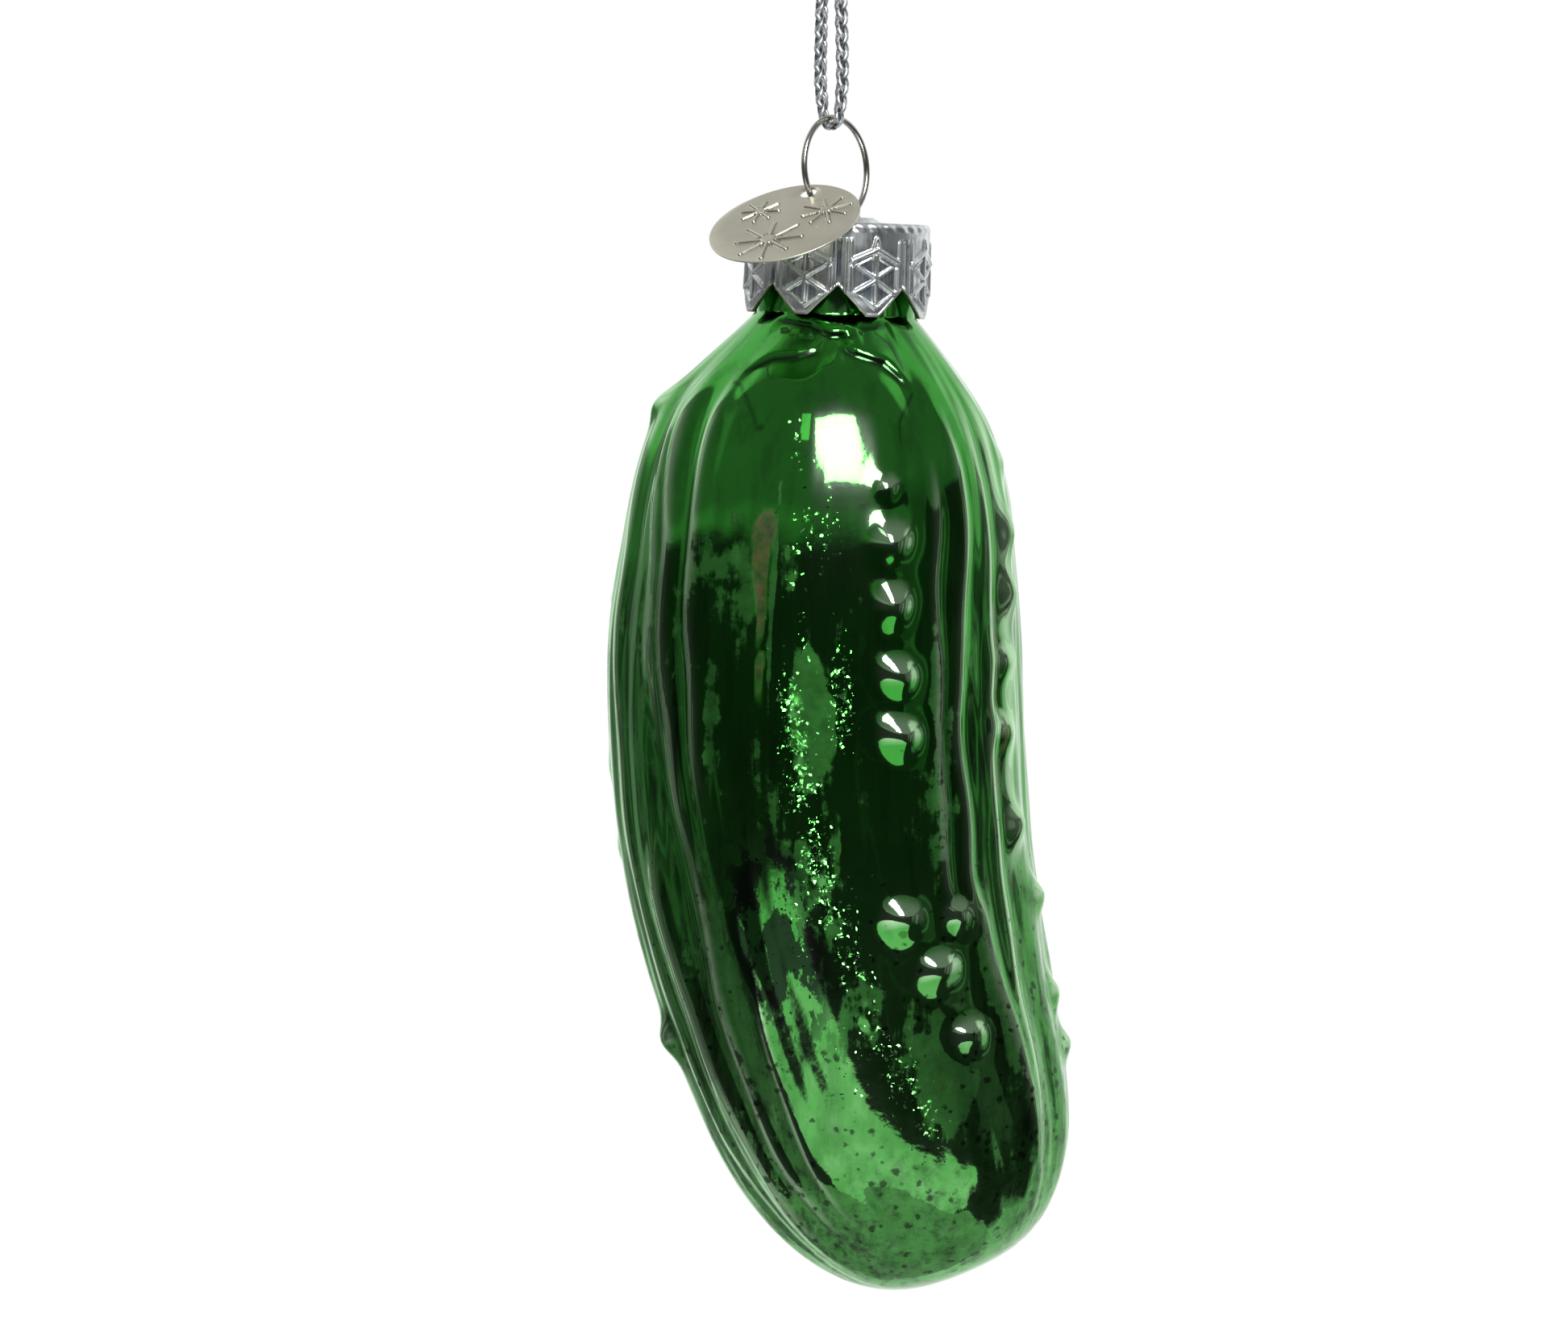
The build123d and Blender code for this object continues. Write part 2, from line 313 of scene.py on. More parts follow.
def braidEnds(name, centre, hint, wire=None):
    # each end winds round the centre line as a helix, half of them each way,
    # and moves out and in as it passes over one end and under the next
    points, along = evenPoints(centre, cord["step"])
    tight = np.ones(len(points))
    if wire is not None:
        press = np.exp(-((points[:, 2] - points[:, 2].min()) / cord["squeezeReach"]) ** 2)
        tight = 1 - (1 - cord["squeeze"]) * press
        inward = wire - points
        inward /= np.linalg.norm(inward, axis=1, keepdims=True)
        points = points + cord["squeezeShift"] * press[:, None] * inward
    second, third = pathFrames(points, hint)
    half = cord["strands"] // 2
    nearEnd = np.minimum(along, along[-1] - along)
    thick = cord["endShare"] + (1 - cord["endShare"]) * smoothStep(0, cord["endLength"], nearEnd)
    sides = cord["sides"]
    ends = []
    for k in range(cord["strands"]):
        way = 1 if k < half else -1
        turn = 2 * np.pi * (way * along / cord["lay"] + (k % half) / half) + cord["phase"] * (way < 0)
        over = way * np.sin(half * turn * way + np.pi / 4)
        reach = tight * (cord["ringRadius"] + cord["weave"] * over)
        line = points + reach[:, None] * (np.cos(turn)[:, None] * second + np.sin(turn)[:, None] * third)
        rows = roundTube(line, tight * cord["strandRadius"] * thick, sides, hint)
        end = gridPiece(f"{name}-{k}", rows, line[0], line[-1], split=1)
        markPoints(end, "aroundThread", np.tile(np.arange(sides) / sides, len(line)))
        markPoints(end, "alongThread", np.repeat(along, sides) + cord["markShift"] * k)
        # painted shade: 1 where the end dips under the next, 0 where it passes over
        markPoints(end, "deepThread", np.append(np.repeat(0.5 - 0.5 * over, sides), [1, 1]))
        ends.append(end)
    return ends


def threadMaterial():  # flat metal filaments twisted round each end, with painted shade in the grooves between filaments and where an end dips under the next
    thread = Finish("silverThread", Metallic=0.9)
    along = thread.times(thread.mark("alongThread"), 2.6)
    around = thread.times(thread.mark("aroundThread"), 3.0)
    filament = thread.math("PINGPONG", thread.plus(along, around), 0.5)
    flakes = thread.noise(800.0, 2.0)
    silver = [(0.35, (0.52, 0.56, 0.58)), (0.5, (0.66, 0.70, 0.72)), (0.65, (0.84, 0.87, 0.88))]
    # painted shade where the end dips under the next
    sunk = thread.ramp(thread.mark("deepThread"), [(0.25, 1.0), (0.6, 0.5), (0.9, 0.2)])
    # painted shade in the grooves between the filaments
    groove = thread.ramp(filament, [(0.0, 0.8), (0.2, 1.0)])
    return thread.done(
        Base_Color=thread.shade(thread.shade(thread.ramp(flakes, silver), sunk), groove),
        Roughness=thread.spread(flakes, 0.3, 0.7, 0.46, 0.34),
        Normal=thread.bump(filament, 0.25, 0.00003))


silverThread = threadMaterial()
cordSide = cord["strand"]
cordRoute = cordSide + [(-x, z) for x, z in reversed(cordSide)]
cordPoints = [wireTop + cordTurn @ np.array([x, 0, z]) for x, z in cordRoute]
cordLine = cordSpline("cordRoute", cordPoints)
cordEnds = braidEnds("cord-end", cordLine, cordTurn @ np.array([0, 1.0, 0]), wireTop)
cordLoop = joinPieces("cord-braid", cordEnds)
dress(cordLoop, silverThread, "cord", "silver_cord", "cord_loop")
print("cord made, mm:", round(float(evenPoints(cordLine, 0.2)[1][-1]), 2))


# Knot: both ends wound round each other in a tight barrel, with two cut tails

knot = dict(
    foot=0.35, top=4.5, turns=1.35, barrelRadius=1.12, endRadius=0.55, swell=0.7,
    tailLength=5.6, tailAngle=22.0, tailAcross=0.6, tailSink=0.4,
    coilTo=0.66, tailFrom=0.6, blend=(0.56, 0.74),  # shares of the line's run
    hint=(0.3, 1.0, 0.2), samples=260,
)


def knotLine(side):
    # a helix that swells in the middle, and from its top a straight tail that leans outwards
    t = np.linspace(0, 1, knot["samples"])
    rise = np.clip(t / knot["coilTo"], 0, 1)
    turn = np.pi * (side < 0) + 2 * np.pi * knot["turns"] * smoothStep(0, 1, rise)
    bulge = np.sin(np.pi * rise) ** knot["swell"]
    reach = knot["endRadius"] + (knot["barrelRadius"] - knot["endRadius"]) * bulge
    height = knot["foot"] + (knot["top"] - knot["foot"]) * rise
    coil = np.stack([reach * np.cos(turn), reach * np.sin(turn), height], 1)
    out = np.clip((t - knot["tailFrom"]) / (1 - knot["tailFrom"]), 0, 1) * knot["tailLength"]
    lean = math.radians(knot["tailAngle"])
    tailHeight = knot["top"] - knot["tailSink"] + out * math.cos(lean)
    tail = np.stack([side * (knot["tailAcross"] + out * math.sin(lean)), 0 * out, tailHeight], 1)
    share = smoothStep(*knot["blend"], t)[:, None]
    return (coil * (1 - share) + tail * share) @ cordTurn.T


knotEnds = []
for side, name in ((1, "knot-right"), (-1, "knot-left")):
    knotEnds += braidEnds(name, knotLine(side), np.array(knot["hint"]))
knotPiece = joinPieces("cord-knot", knotEnds)
dress(knotPiece, silverThread, "cord", "silver_cord", "cord_knot")


# Glass: a bent, ribbed and warty body, silvered inside under green lacquer

capOrigin = np.array([0.83586, 0, -37.5539])  # top of the cap's raised centre, on the neck's axis
capDown = np.array(joints["cap_pull"]["axis"])
capFrame = np.stack([np.cross([0, 1.0, 0], -capDown), [0, 1.0, 0], -capDown], 1)

# headings are in degrees round the body, -90 at the front; distances go down the spine from the cap
glass = dict(
    mouth=0.85, neckEnd=9.45, neckRadius=7.7, wall=1.0,
    stations=[(9.45, 7.7), (19.45, 15.8), (33.95, 19.15), (55.95, 19.85), (79.95, 18.1), (104.75, 15.35)],
    neckFlare=0.9, shoulder=10.0, roundLength=23.3, roundPower=2.7,
    depthRatio=0.95, bellyOffset=-0.7, bendStart=39.3, bendRadius=114.5, bendAngle=25.2,
    columns=336, frontShare=0.38,  # columns stand closer together at the front
    rowSteps=[(1.15, 0.5), (9.0, 0.16), (17.0, 0.3), (20.0, 0.5)],  # rows from here down, this far apart
    endRows=58, endTurn=89.3,
    lipTurns=(20, 60, 90, 120, 160), innerNeck=(2.0, 6.0, 9.0), innerFrom=11.0, innerRows=9,
    innerEnd=(20, 40, 55, 68, 78), innerInset=0.35, innerTip=1.6,  # the inner wall clears the relief
    front=-88.0, frontHalf=0.55,  # the smooth front and its half width in radians
    reliefFrom=(8.95, 21.45), tipEase=10.0,
    flutes=dict(count=14, height=0.22, turn=-43.0, calm=0.75),  # calm: how much flatter at the front
    # blown waviness: height, calm, ease at the tip, seed, waves, range of turns round, range of lengths
    waves=[
        (0.06, 0, 25, 11, 14, (2, 7), (16, 44)), (0.036, 0.85, 10, 12, 24, (22, 58), (26, 100)),
        (0.010, 0.7, 10, 15, 26, (8, 30), (6, 18)),
    ],
    # sharp ribs: heading at the top and at the end, first and last distance down, height, half width
    ribs=[
        (-154, -139, 15, 52, 0.58, 0.95), (-148, -132, 13, 64, 0.84, 1.05), (-134, -125, 14, 58, 0.72, 0.95),
        (-147, -143, 56, 98, 0.74, 1.2), (-130, -134, 57, 98, 0.50, 0.9), (-119, -123, 68, 97, 0.26, 0.7),
        (-52, -55, 22, 74, 0.44, 0.85), (-42, -49, 17, 74, 0.66, 0.85), (-50, -41, 64, 99, 0.68, 0.85),
        (-31, -36, 15, 98, 0.62, 1.0), (-166, -158, 16, 92, 0.55, 1.1), (-20, -24, 14, 70, 0.35, 2.2),
    ],
    ribSway=((0.014, 5.1), (0.008, 2.3)), ribCurl=1.8, ribFade=(7, 10),
    frontRibs=-12,  # ribs from a lower heading than this are at the front
    innerFlank=0.55,  # a front rib is gentler on the side that faces the front
    crestHalf=0.27, frontCrest=0.92, backCrest=0.35,  # thinner lacquer and a painted highlight along the crests, stronger at the front
    backRibs=dict(first=-6, last=186, step=16, jitter=4.0, seed=13, start=(14, 22), end=(98, 86),
                  height=(0.30, 0.55), halfWidth=(0.88, 1.65)),
    # bumps: heading, distance down, height, half width round, half width down
    bumps=[
        (-69.5, 25.7, 0.60, 1.5, 1.7), (-68.5, 31.0, 1.25, 2.7, 3.0), (-68.2, 37.0, 1.2, 2.6, 3.0),
        (-66.2, 44.0, 1.25, 2.8, 2.9), (-66, 50.2, 1.4, 3.0, 3.0),
        (-71.8, 68.8, 1.2, 2.7, 2.8), (-54.5, 69.9, 1.05, 2.3, 2.7), (-64, 74.8, 1.3, 2.9, 3.0),
        (-58.5, 82.3, 1.1, 2.5, 2.7), (-95.8, 46.8, 0.32, 0.9, 1.1), (-94.2, 51.1, 0.28, 0.8, 1.2),
        (-81.4, 46.8, 0.34, 0.85, 2.2), (-91.8, 62.8, 0.26, 0.8, 1.4), (-88.8, 77.0, 0.30, 0.85, 1.8),
        (-9, 22.7, 0.6, 2.6, 3.0), (-18, 29.4, 0.7, 2.7, 3.2),
        (-22, 35.4, 0.85, 2.7, 3.2), (-25.5, 42.6, 0.9, 2.8, 3.4), (-28, 50.6, 1.05, 3.0, 3.6),
        (-24.5, 61.6, 1.15, 3.0, 3.6), (-9, 70.2, 1.0, 2.7, 3.0), (-5, 81.6, 0.9, 2.4, 2.7),
        (-1, 87.8, 0.9, 2.4, 2.6), (-172, 18.6, 0.9, 2.6, 2.8), (-171, 75.0, 1.0, 2.2, 2.5),
    ],
    bumpFall=2.2, bumpLobes=(0.15, 0.10), wartFrom=0.5,  # a bump higher than this is a wart
    # pale top half of each wart: thinner lacquer and a painted highlight
    wartMask=(1.9, 1.0), wartCrest=0.8, wartTop=(0.9, 0.1), wartUpper=(0.25, -0.1),
    backRows=[(30, 30, 6), (75, 26, 7), (120, 33, 6), (160, 38, 4)],  # heading, first distance, count
    backPitch=7.0, backBump=(1.1, 2.8, 3.1), backSway=3.0,
    # pinched folds on the shoulder: points (heading, distance down), height of the step
    folds=[
        ([(-136, 9.9), (-118, 10.2), (-105, 10.4), (-92, 11.3), (-82, 11.2), (-74, 10.7)], 0.42),
        ([(-78, 10.5), (-63, 10.3), (-50, 9.7)], 0.25),
        ([(-131, 15.3), (-118.6, 13.7), (-106.5, 13.4), (-94, 12.7)], 0.34),
        ([(-88, 12.2), (-79.6, 12.9), (-64, 13.8), (-52, 16.2)], 0.38),
    ],
    foldEdge=0.42, foldReach=2.2, foldFrom=(5.85, 8.85),
    foldShade=(0.3, 0.3, 0.34),  # how far below, half width, height of a fold with full shade
    lineFade=0.62,  # share of a fold or crack past which it fades
    # hairline cracks in the lacquer: points (heading, distance down)
    cracks=[
        [(-131.5, 16.2), (-126, 16.6), (-120.7, 17.7), (-116, 19.1), (-113, 20.6), (-110, 20.3)],
        [(-53, 16.5), (-57, 17.6), (-62.8, 19.3), (-64, 21.5)], [(-66, 10.8), (-58, 12.0), (-55, 14.6)],
    ],
    crackShade=(0.8, 0.14, 0.2),  # strength, half width, ease at the ends
    # rusty runs where the silvering is thin: heading, first and last distance down, half width at each end
    runs=[(-106.2, 28.3, 42, 1.45, 0.2), (-105, 41.5, 47, 0.6, 0.2), (-30, 36, 60, 0.25, 0.2)],
    runNarrow=0.7, runTop=1.6, runSway=(0.012, 1.9), runFade=3.0, runEdge=(0.75, 1.25),
    # hazy silvering that mirrors nothing clearly: heading, distance down, half width round and down, strength
    haze=[
        (-91.5, 48, 1.9, 6.5, 1), (-102.6, 38, 0.3, 11, 0.8), (-71, 84.5, 3.7, 5.8, 1),
        (-118, 48, 1.2, 8, 0.5), (-55, 45, 0.5, 9, 0.7), (-88, 60, 1, 7, 0.5), (-103, 57, 1.2, 7, 0.55),
        (-128, 72, 1.8, 12, 0.8), (-47, 78, 0.9, 9, 0.9), (-108, 51, 1.2, 6, 0.55), (-95, 64, 3.4, 8, 0.47),
        (-91, 77, 3.2, 7, 0.46), (-113, 40, 4, 9, 0.42), (-85, 41, 3, 8, 0.38), (-60, 60, 3, 9, 0.4),
        (-77, 57, 3, 7, 0.33), (-121, 33.5, 2.4, 4, 0.46), (-113, 32.5, 1.6, 4, 0.45),
        (-128, 35, 1.2, 5, 0.46), (-97, 34, 2, 3, 0.44),
    ],
    hazeFall=0.7, sideHaze=0.3, sideFrom=(0.45, 0.75), sideDown=(27, 40), sideStreaks=0.85,
    islands=[(-109, 68, 4.2, 9, 1)],  # where the mirrored table is broken up by dark spots
    ageing=(46, 88), lowDown=(84, 97), lowSpots=0.75,
    # crumbled silvering that sparkles: heading, distance down, half width round and down, strength
    crumbs=[
        (-97, 46, 0.9, 2, 1), (-96, 50, 1.1, 2.2, 1), (-95.5, 54, 1.3, 2.6, 0.8), (-82.5, 46.5, 0.9, 4, 1),
        (-93, 61, 1.4, 3.2, 1), (-90.5, 66, 1.6, 3.4, 0.6), (-89, 74, 1.2, 4.8, 1),
        (-86.5, 79.5, 1.3, 3.4, 0.6), (-83, 86, 1.7, 4.4, 0.45), (-98.5, 24, 1, 4, 0.2),
        (-91, 30, 2.6, 2.2, 0.38), (-94, 40, 3.6, 7, 0.08), (-97, 67, 3.5, 8, 0.1), (-92, 81, 3, 7, 0.1),
    ],
    # faint sparkle down the front: heading, half width, strength, and the bend to the right lower down
    dust=dict(heading=-92.0, half=0.2, strength=0.045, bendFrom=60, bend=0.2, start=(27, 33), end=(88, 96)),
)
glassEnd = glass["stations"][-1][0]
roundStart = glassEnd - glass["roundLength"]


def glassSide(s):  # radius against distance down the spine: cubic between stations, rounded off at the end
    at, radius = np.array(glass["stations"]).T
    index = np.arange(len(at))
    before, after = np.maximum(index - 1, 0), np.minimum(index + 1, len(at) - 1)
    slopes = (radius[after] - radius[before]) / (at[after] - at[before])
    slopes[0] = glass["neckFlare"]
    k = np.clip(np.searchsorted(at, s, side="right") - 1, 0, len(at) - 2)
    span = at[k + 1] - at[k]
    t = np.clip((s - at[k]) / span, 0, 1)
    rise = radius[k + 1] - radius[k]
    bow = (1 - t) * (slopes[k] * span - rise) - t * (slopes[k + 1] * span - rise)
    closing = np.clip((s - roundStart) / glass["roundLength"], 0, 1)
    power = glass["roundPower"]
    return (radius[k] + t * rise + t * (1 - t) * bow) * (1 - closing ** power) ** (1 / power)


def glassPoint(s, heading, radius):  # a place on the bent body, in the frame of the part
    bent = np.clip((s - glass["bendStart"]) / glass["bendRadius"], 0, math.radians(glass["bendAngle"]))
    rest = np.maximum(0, s - glass["bendStart"] - glass["bendRadius"] * math.radians(glass["bendAngle"]))
    ease = smoothStep(glass["neckEnd"], glass["neckEnd"] + glass["shoulder"], s)
    x = glass["bellyOffset"] * ease + glass["bendRadius"] * (1 - np.cos(bent)) + rest * np.sin(bent)
    z = -np.minimum(s, glass["bendStart"]) - glass["bendRadius"] * np.sin(bent) - rest * np.cos(bent)
    across = radius * np.cos(heading)
    depth = (1 - (1 - glass["depthRatio"]) * ease) * radius * np.sin(heading)
    local = np.stack([x + across * np.cos(bent), depth, z + across * np.sin(bent)], -1)
    return capOrigin + local @ capFrame.T


def headingGap(heading, degrees):  # smallest turn from a heading in degrees, in radians
    return (heading - np.radians(degrees) + np.pi) % (2 * np.pi) - np.pi


def ripples(heading, s, seed, count, roundRange, lengthRange):
    # a sum of waves with whole numbers of turns and random phases, about 1 high
    rng = np.random.default_rng(seed)
    total = 0
    for _ in range(count):
        turns = rng.integers(*roundRange)
        length = rng.uniform(*lengthRange)
        slant = rng.choice([-1, 1]) * 2 * np.pi / length
        total = total + np.cos(turns * heading + slant * s + rng.uniform(0, 2 * np.pi))
    return total * math.sqrt(2 / count)


def distanceToLine(points, heading, s, radius):
    # signed distance below a line on the glass, and a share that fades out towards its ends
    best, side = np.full(s.shape, 1e3), np.zeros(s.shape)
    for (h0, s0), (h1, s1) in zip(points, points[1:]):
        x = headingGap(heading, h0) * radius
        y = s - s0
        dx, dy = math.radians(h1 - h0) * radius, s1 - s0
        t = np.clip((x * dx + y * dy) / (dx * dx + dy * dy), 0, 1)
        away = np.hypot(x - t * dx, y - t * dy)
        near = away < best
        below = (y - t * dy) * dx - (x - t * dx) * dy
        side = np.where(near, np.sign(below), side)
        best = np.where(near, away, best)
    first, last = points[0][0], points[-1][0]
    half = math.radians(abs(last - first) / 2)
    fromMiddle = np.abs(headingGap(heading, (first + last) / 2)) / half
    inside = 1 - smoothStep(glass["lineFade"], 1.0, fromMiddle)
    return best * side, inside


def glassStain(s, heading, radius):  # painted shade under the folds, and dark hairline cracks in the lacquer
    dark = np.zeros(s.shape)
    under, half, fullHeight = glass["foldShade"]
    for points, height in glass["folds"]:
        below, inside = distanceToLine(points, heading, s, radius)
        shade = np.exp(-((below - under) / half) ** 2) * min(1, height / fullHeight)
        dark = np.maximum(dark, inside * shade)
    strength, half, ends = glass["crackShade"]
    for points in glass["cracks"]:
        below, inside = distanceToLine(points, heading, s, radius)
        dark = np.maximum(dark, strength * smoothStep(0, ends, inside) * np.exp(-(below / half) ** 2))
    return dark


def glassSpots(spots, fall, s, heading, radius):  # soft oval patches, strongest in the middle of each
    share = np.zeros(s.shape)
    for h, s0, halfRound, halfDown, strength in spots:
        off = (headingGap(heading, h) * radius / halfRound) ** 2 + ((s - s0) / halfDown) ** 2
        share = np.maximum(share, strength * np.exp(-fall * off))
    return share


def glassRust(s, heading, radius):  # runs that narrow as they go down, and wander a little
    rust = np.zeros(s.shape)
    sway, swayLength = glass["runSway"]
    for h, s0, s1, topHalf, endHalf in glass["runs"]:
        share = np.clip((s - s0) / (s1 - s0), 0, 1) ** glass["runNarrow"]
        blunt = np.sqrt(np.clip((s - s0) / glass["runTop"], 0.01, 1))
        halfWidth = (topHalf + (endHalf - topHalf) * share) * blunt
        off = np.abs(headingGap(heading, h + np.degrees(sway * np.sin(s / swayLength)))) * radius / halfWidth
        ends = (s > s0) * (1 - smoothStep(s1 - glass["runFade"], s1, s))
        rust = np.maximum(rust, ends * (1 - smoothStep(*glass["runEdge"], off)))
    return rust


def glassDust(s, heading):  # a soft upright band that bends to the right lower down
    dust = glass["dust"]
    middle = dust["heading"] + dust["bend"] * np.maximum(0, s - dust["bendFrom"])
    band = np.exp(-(headingGap(heading, middle) / dust["half"]) ** 2)
    return dust["strength"] * band * smoothStep(*dust["start"], s) * (1 - smoothStep(*dust["end"], s))


def allRibs(rng):  # the ribs of the front, and ribs of random height and length round the back
    back = glass["backRibs"]
    ribs = list(glass["ribs"])
    for h in np.arange(back["first"], back["last"], back["step"]):
        sway = rng.uniform(-back["jitter"], back["jitter"], 2)
        ranges = (back[key] for key in ("start", "end", "height", "halfWidth"))
        ribs.append((*(h + sway), *(near + (far - near) * rng.random() for near, far in ranges)))
    return ribs


def allBumps(rng):  # the bumps of the front, and rows of them round the back
    bumps = list(glass["bumps"])
    for h, s0, count in glass["backRows"]:
        for k in range(count):
            sway = rng.uniform(-glass["backSway"], glass["backSway"])
            bumps.append((h + sway, s0 + glass["backPitch"] * k, *glass["backBump"]))
    return bumps


def glassRelief(s, heading, radius):
    # flutes, sharp ribs, bumps, pinched folds and blown waviness, added to the radius;
    # with it go the crests and wart tops, where the lacquer is thinner and a highlight is painted, and a mask
    # that is 1 on the warts
    flutes = glass["flutes"]
    body = smoothStep(*glass["reliefFrom"], s)
    tip = smoothStep(0, glass["tipEase"], glassEnd - s)
    front = np.exp(-(headingGap(heading, glass["front"]) / glass["frontHalf"]) ** 4)
    flute = np.cos(flutes["count"] * headingGap(heading, flutes["turn"]))
    lift = flutes["height"] * (1 - flutes["calm"] * front) * body * tip * flute
    for height, calm, ease, seed, count, turns, lengths in glass["waves"]:
        fade = (1 - calm * front) * body * smoothStep(0, ease, glassEnd - s)
        lift = lift + height * fade * ripples(heading, s, seed, count, turns, lengths)
    crest, wart = np.zeros(s.shape), np.zeros(s.shape)
    rng = np.random.default_rng(glass["backRibs"]["seed"])
    for h0, h1, s0, s1, height, halfWidth in allRibs(rng):
        t = np.clip((s - s0) / (s1 - s0), 0, 1)
        (far, farLength), (near, nearLength) = glass["ribSway"]
        sway = far * np.sin(s / farLength + h0) + near * np.sin(s / nearLength + h1)
        line = h0 + (h1 - h0) * (1 - (1 - t) ** glass["ribCurl"]) + np.degrees(sway)
        off = headingGap(heading, line) * radius / halfWidth
        atFront = h0 < glass["frontRibs"]
        inward = math.copysign(1, -90 - h0) * atFront  # which side of a front rib faces the front
        off = off * np.where(off * inward > 0, glass["innerFlank"], 1)
        fadeIn, fadeOut = glass["ribFade"]
        fade = smoothStep(s0, s0 + fadeIn, s) * (1 - smoothStep(s1 - fadeOut, s1, s))
        lift = lift + height * fade / (1 + off * off) ** 1.5
        # crest strength: thinner lacquer and a painted highlight, stronger at the front
        thin = glass["frontCrest"] if atFront else glass["backCrest"]
        crest = np.maximum(crest, thin * fade * np.exp(-(off / glass["crestHalf"]) ** 2))
    for h, s0, height, halfRound, halfDown in allBumps(rng):
        x, y = headingGap(heading, h) * radius / halfRound, (s - s0) / halfDown
        way = np.arctan2(y, x)
        two, three = glass["bumpLobes"]
        off = (x * x + y * y) * (1 + two * np.sin(2 * way + h) + three * np.sin(3 * way + s0))
        lift = lift + height * np.exp(-glass["bumpFall"] * off)
        if height > glass["wartFrom"]:
            wart = np.maximum(wart, smoothStep(*glass["wartMask"], off))
            # painted highlight and thinner lacquer on the upper half of each wart
            top = smoothStep(*glass["wartTop"], off) * smoothStep(*glass["wartUpper"], y)
            crest = np.maximum(crest, glass["wartCrest"] * top)
    for points, height in glass["folds"]:
        below, inside = distanceToLine(points, heading, s, radius)
        step = -np.tanh(below / glass["foldEdge"]) * np.exp(-(below / glass["foldReach"]) ** 2)
        lift = lift + height * inside * step * smoothStep(*glass["foldFrom"], s)
    return lift, crest, wart


def endRun(degrees):  # distances down the rounded end, closer together towards its tip
    return roundStart + glass["roundLength"] * np.sin(np.radians(degrees))


def glassPiece():
    # the outer skin from its tip up to the mouth, over the lip and down the inner wall to its own tip
    turn = np.linspace(-1, 1, glass["columns"], endpoint=False)
    heading = -np.pi / 2 + np.pi * turn - glass["frontShare"] * np.sin(np.pi * turn)
    runs = [*glass["rowSteps"], (roundStart, 0)]
    down = [np.arange(start, end, step) for (start, step), (end, _) in zip(runs, runs[1:])]
    down = np.concatenate([*down, endRun(np.linspace(0, glass["endTurn"], glass["endRows"]))])
    s, h = np.meshgrid(down, heading, indexing="ij")
    radius = glassSide(s)
    lift, crest, wart = glassRelief(s, h, radius)
    outer = glassPoint(s, h, radius + lift)
    lipTurn = np.radians(glass["lipTurns"])
    half = glass["wall"] / 2
    lipRadius = glass["neckRadius"] - half + half * np.cos(lipTurn)
    lipDown = glass["mouth"] + half - half * np.sin(lipTurn)
    innerBody = np.linspace(glass["innerFrom"], roundStart, glass["innerRows"])
    innerDown = np.concatenate([glass["innerNeck"], innerBody, endRun(glass["innerEnd"])])
    inset = glass["wall"] + glass["innerInset"] * (innerDown > glass["neckEnd"])
    insideDown = np.concatenate([lipDown, innerDown])
    insideRadius = np.concatenate([lipRadius, np.maximum(glassSide(innerDown) - inset, half)])
    inS, inH = np.meshgrid(insideDown, heading, indexing="ij")
    inside = glassPoint(inS, inH, insideRadius[:, None])
    tips = [glassPoint(np.array(at), 0.0, 0.0) for at in (glassEnd, glassEnd - glass["innerTip"])]
    piece = gridPiece("pickle-glass", np.concatenate([outer[::-1], inside]), *tips)
    fromFront = np.abs(headingGap(h, glass["front"]))
    sides = smoothStep(*glass["sideFrom"], fromFront) * smoothStep(*glass["sideDown"], s)
    haze = np.maximum(glassSpots(glass["haze"], glass["hazeFall"], s, h, radius), glass["sideHaze"] * sides)
    marks = dict(
        glitter=np.maximum(glassDust(s, h), glassSpots(glass["crumbs"], 1.0, s, h, radius)),
        pitting=smoothStep(*glass["ageing"], s),
        # painted shade under the folds, and dark cracks
        stain=glassStain(s, h, radius),
        rust=glassRust(s, h, radius),
        # thinner lacquer and a painted highlight on the crests and wart tops
        bare=crest,
        haze=haze * (1 - wart),
        islands=glassSpots(glass["islands"], glass["hazeFall"], s, h, radius),
        sides=glass["sideStreaks"] * sides,
        low=glass["lowSpots"] * smoothStep(*glass["lowDown"], s),
    )
    for mark, values in marks.items():
        markPoints(piece, mark, values[::-1])
    markPoints(piece, "inner", np.concatenate([np.zeros(s.shape), np.ones(inS.shape)]))
    return piece


coats = dict(
    lacquer=[(0.25, (0.024, 0.27, 0.020)), (0.52, (0.032, 0.33, 0.027)), (0.8, (0.05, 0.39, 0.045))],
    thin=[(0.33, (0.085, 0.28, 0.075)), (0.5, (0.13, 0.40, 0.115)), (0.68, (0.20, 0.50, 0.18))],
    streaks=[(0.36, 0.72), (0.5, 0.95), (0.66, 1.0)],
    combed=[(0.36, 0.16), (0.46, 0.62), (0.54, 1.0), (0.7, 1.0)],
    spotted=[(0.34, 0.22), (0.46, 0.75), (0.56, 1.0)],
    cloudy=[(0.36, (0.05, 0.20, 0.045)), (0.6, (0.085, 0.34, 0.075))],
    rust=[(0.35, (0.03, 0.05, 0.018)), (0.62, (0.095, 0.08, 0.035))],
    # the pale crest colour is thinner lacquer with a painted highlight; the dark worn colour is pits,
    # islands, cracks and the painted shade under the folds
    crest=(0.50, 0.76, 0.47), worn=(0.004, 0.03, 0.005), inside=(0.55, 0.60, 0.54),
    tint=(0.75, 0.95, 0.74, 1), pitScale=900.0, facetScale=4300.0, shake=(0.0009, 0.0009, 0.0009),
    # loose facets face half way up to the window, each leaning its own way
    sparkleWay=(0.102, -0.938, 0.332), sparkleSpread=(0.62, 0.62, 0.62),
)


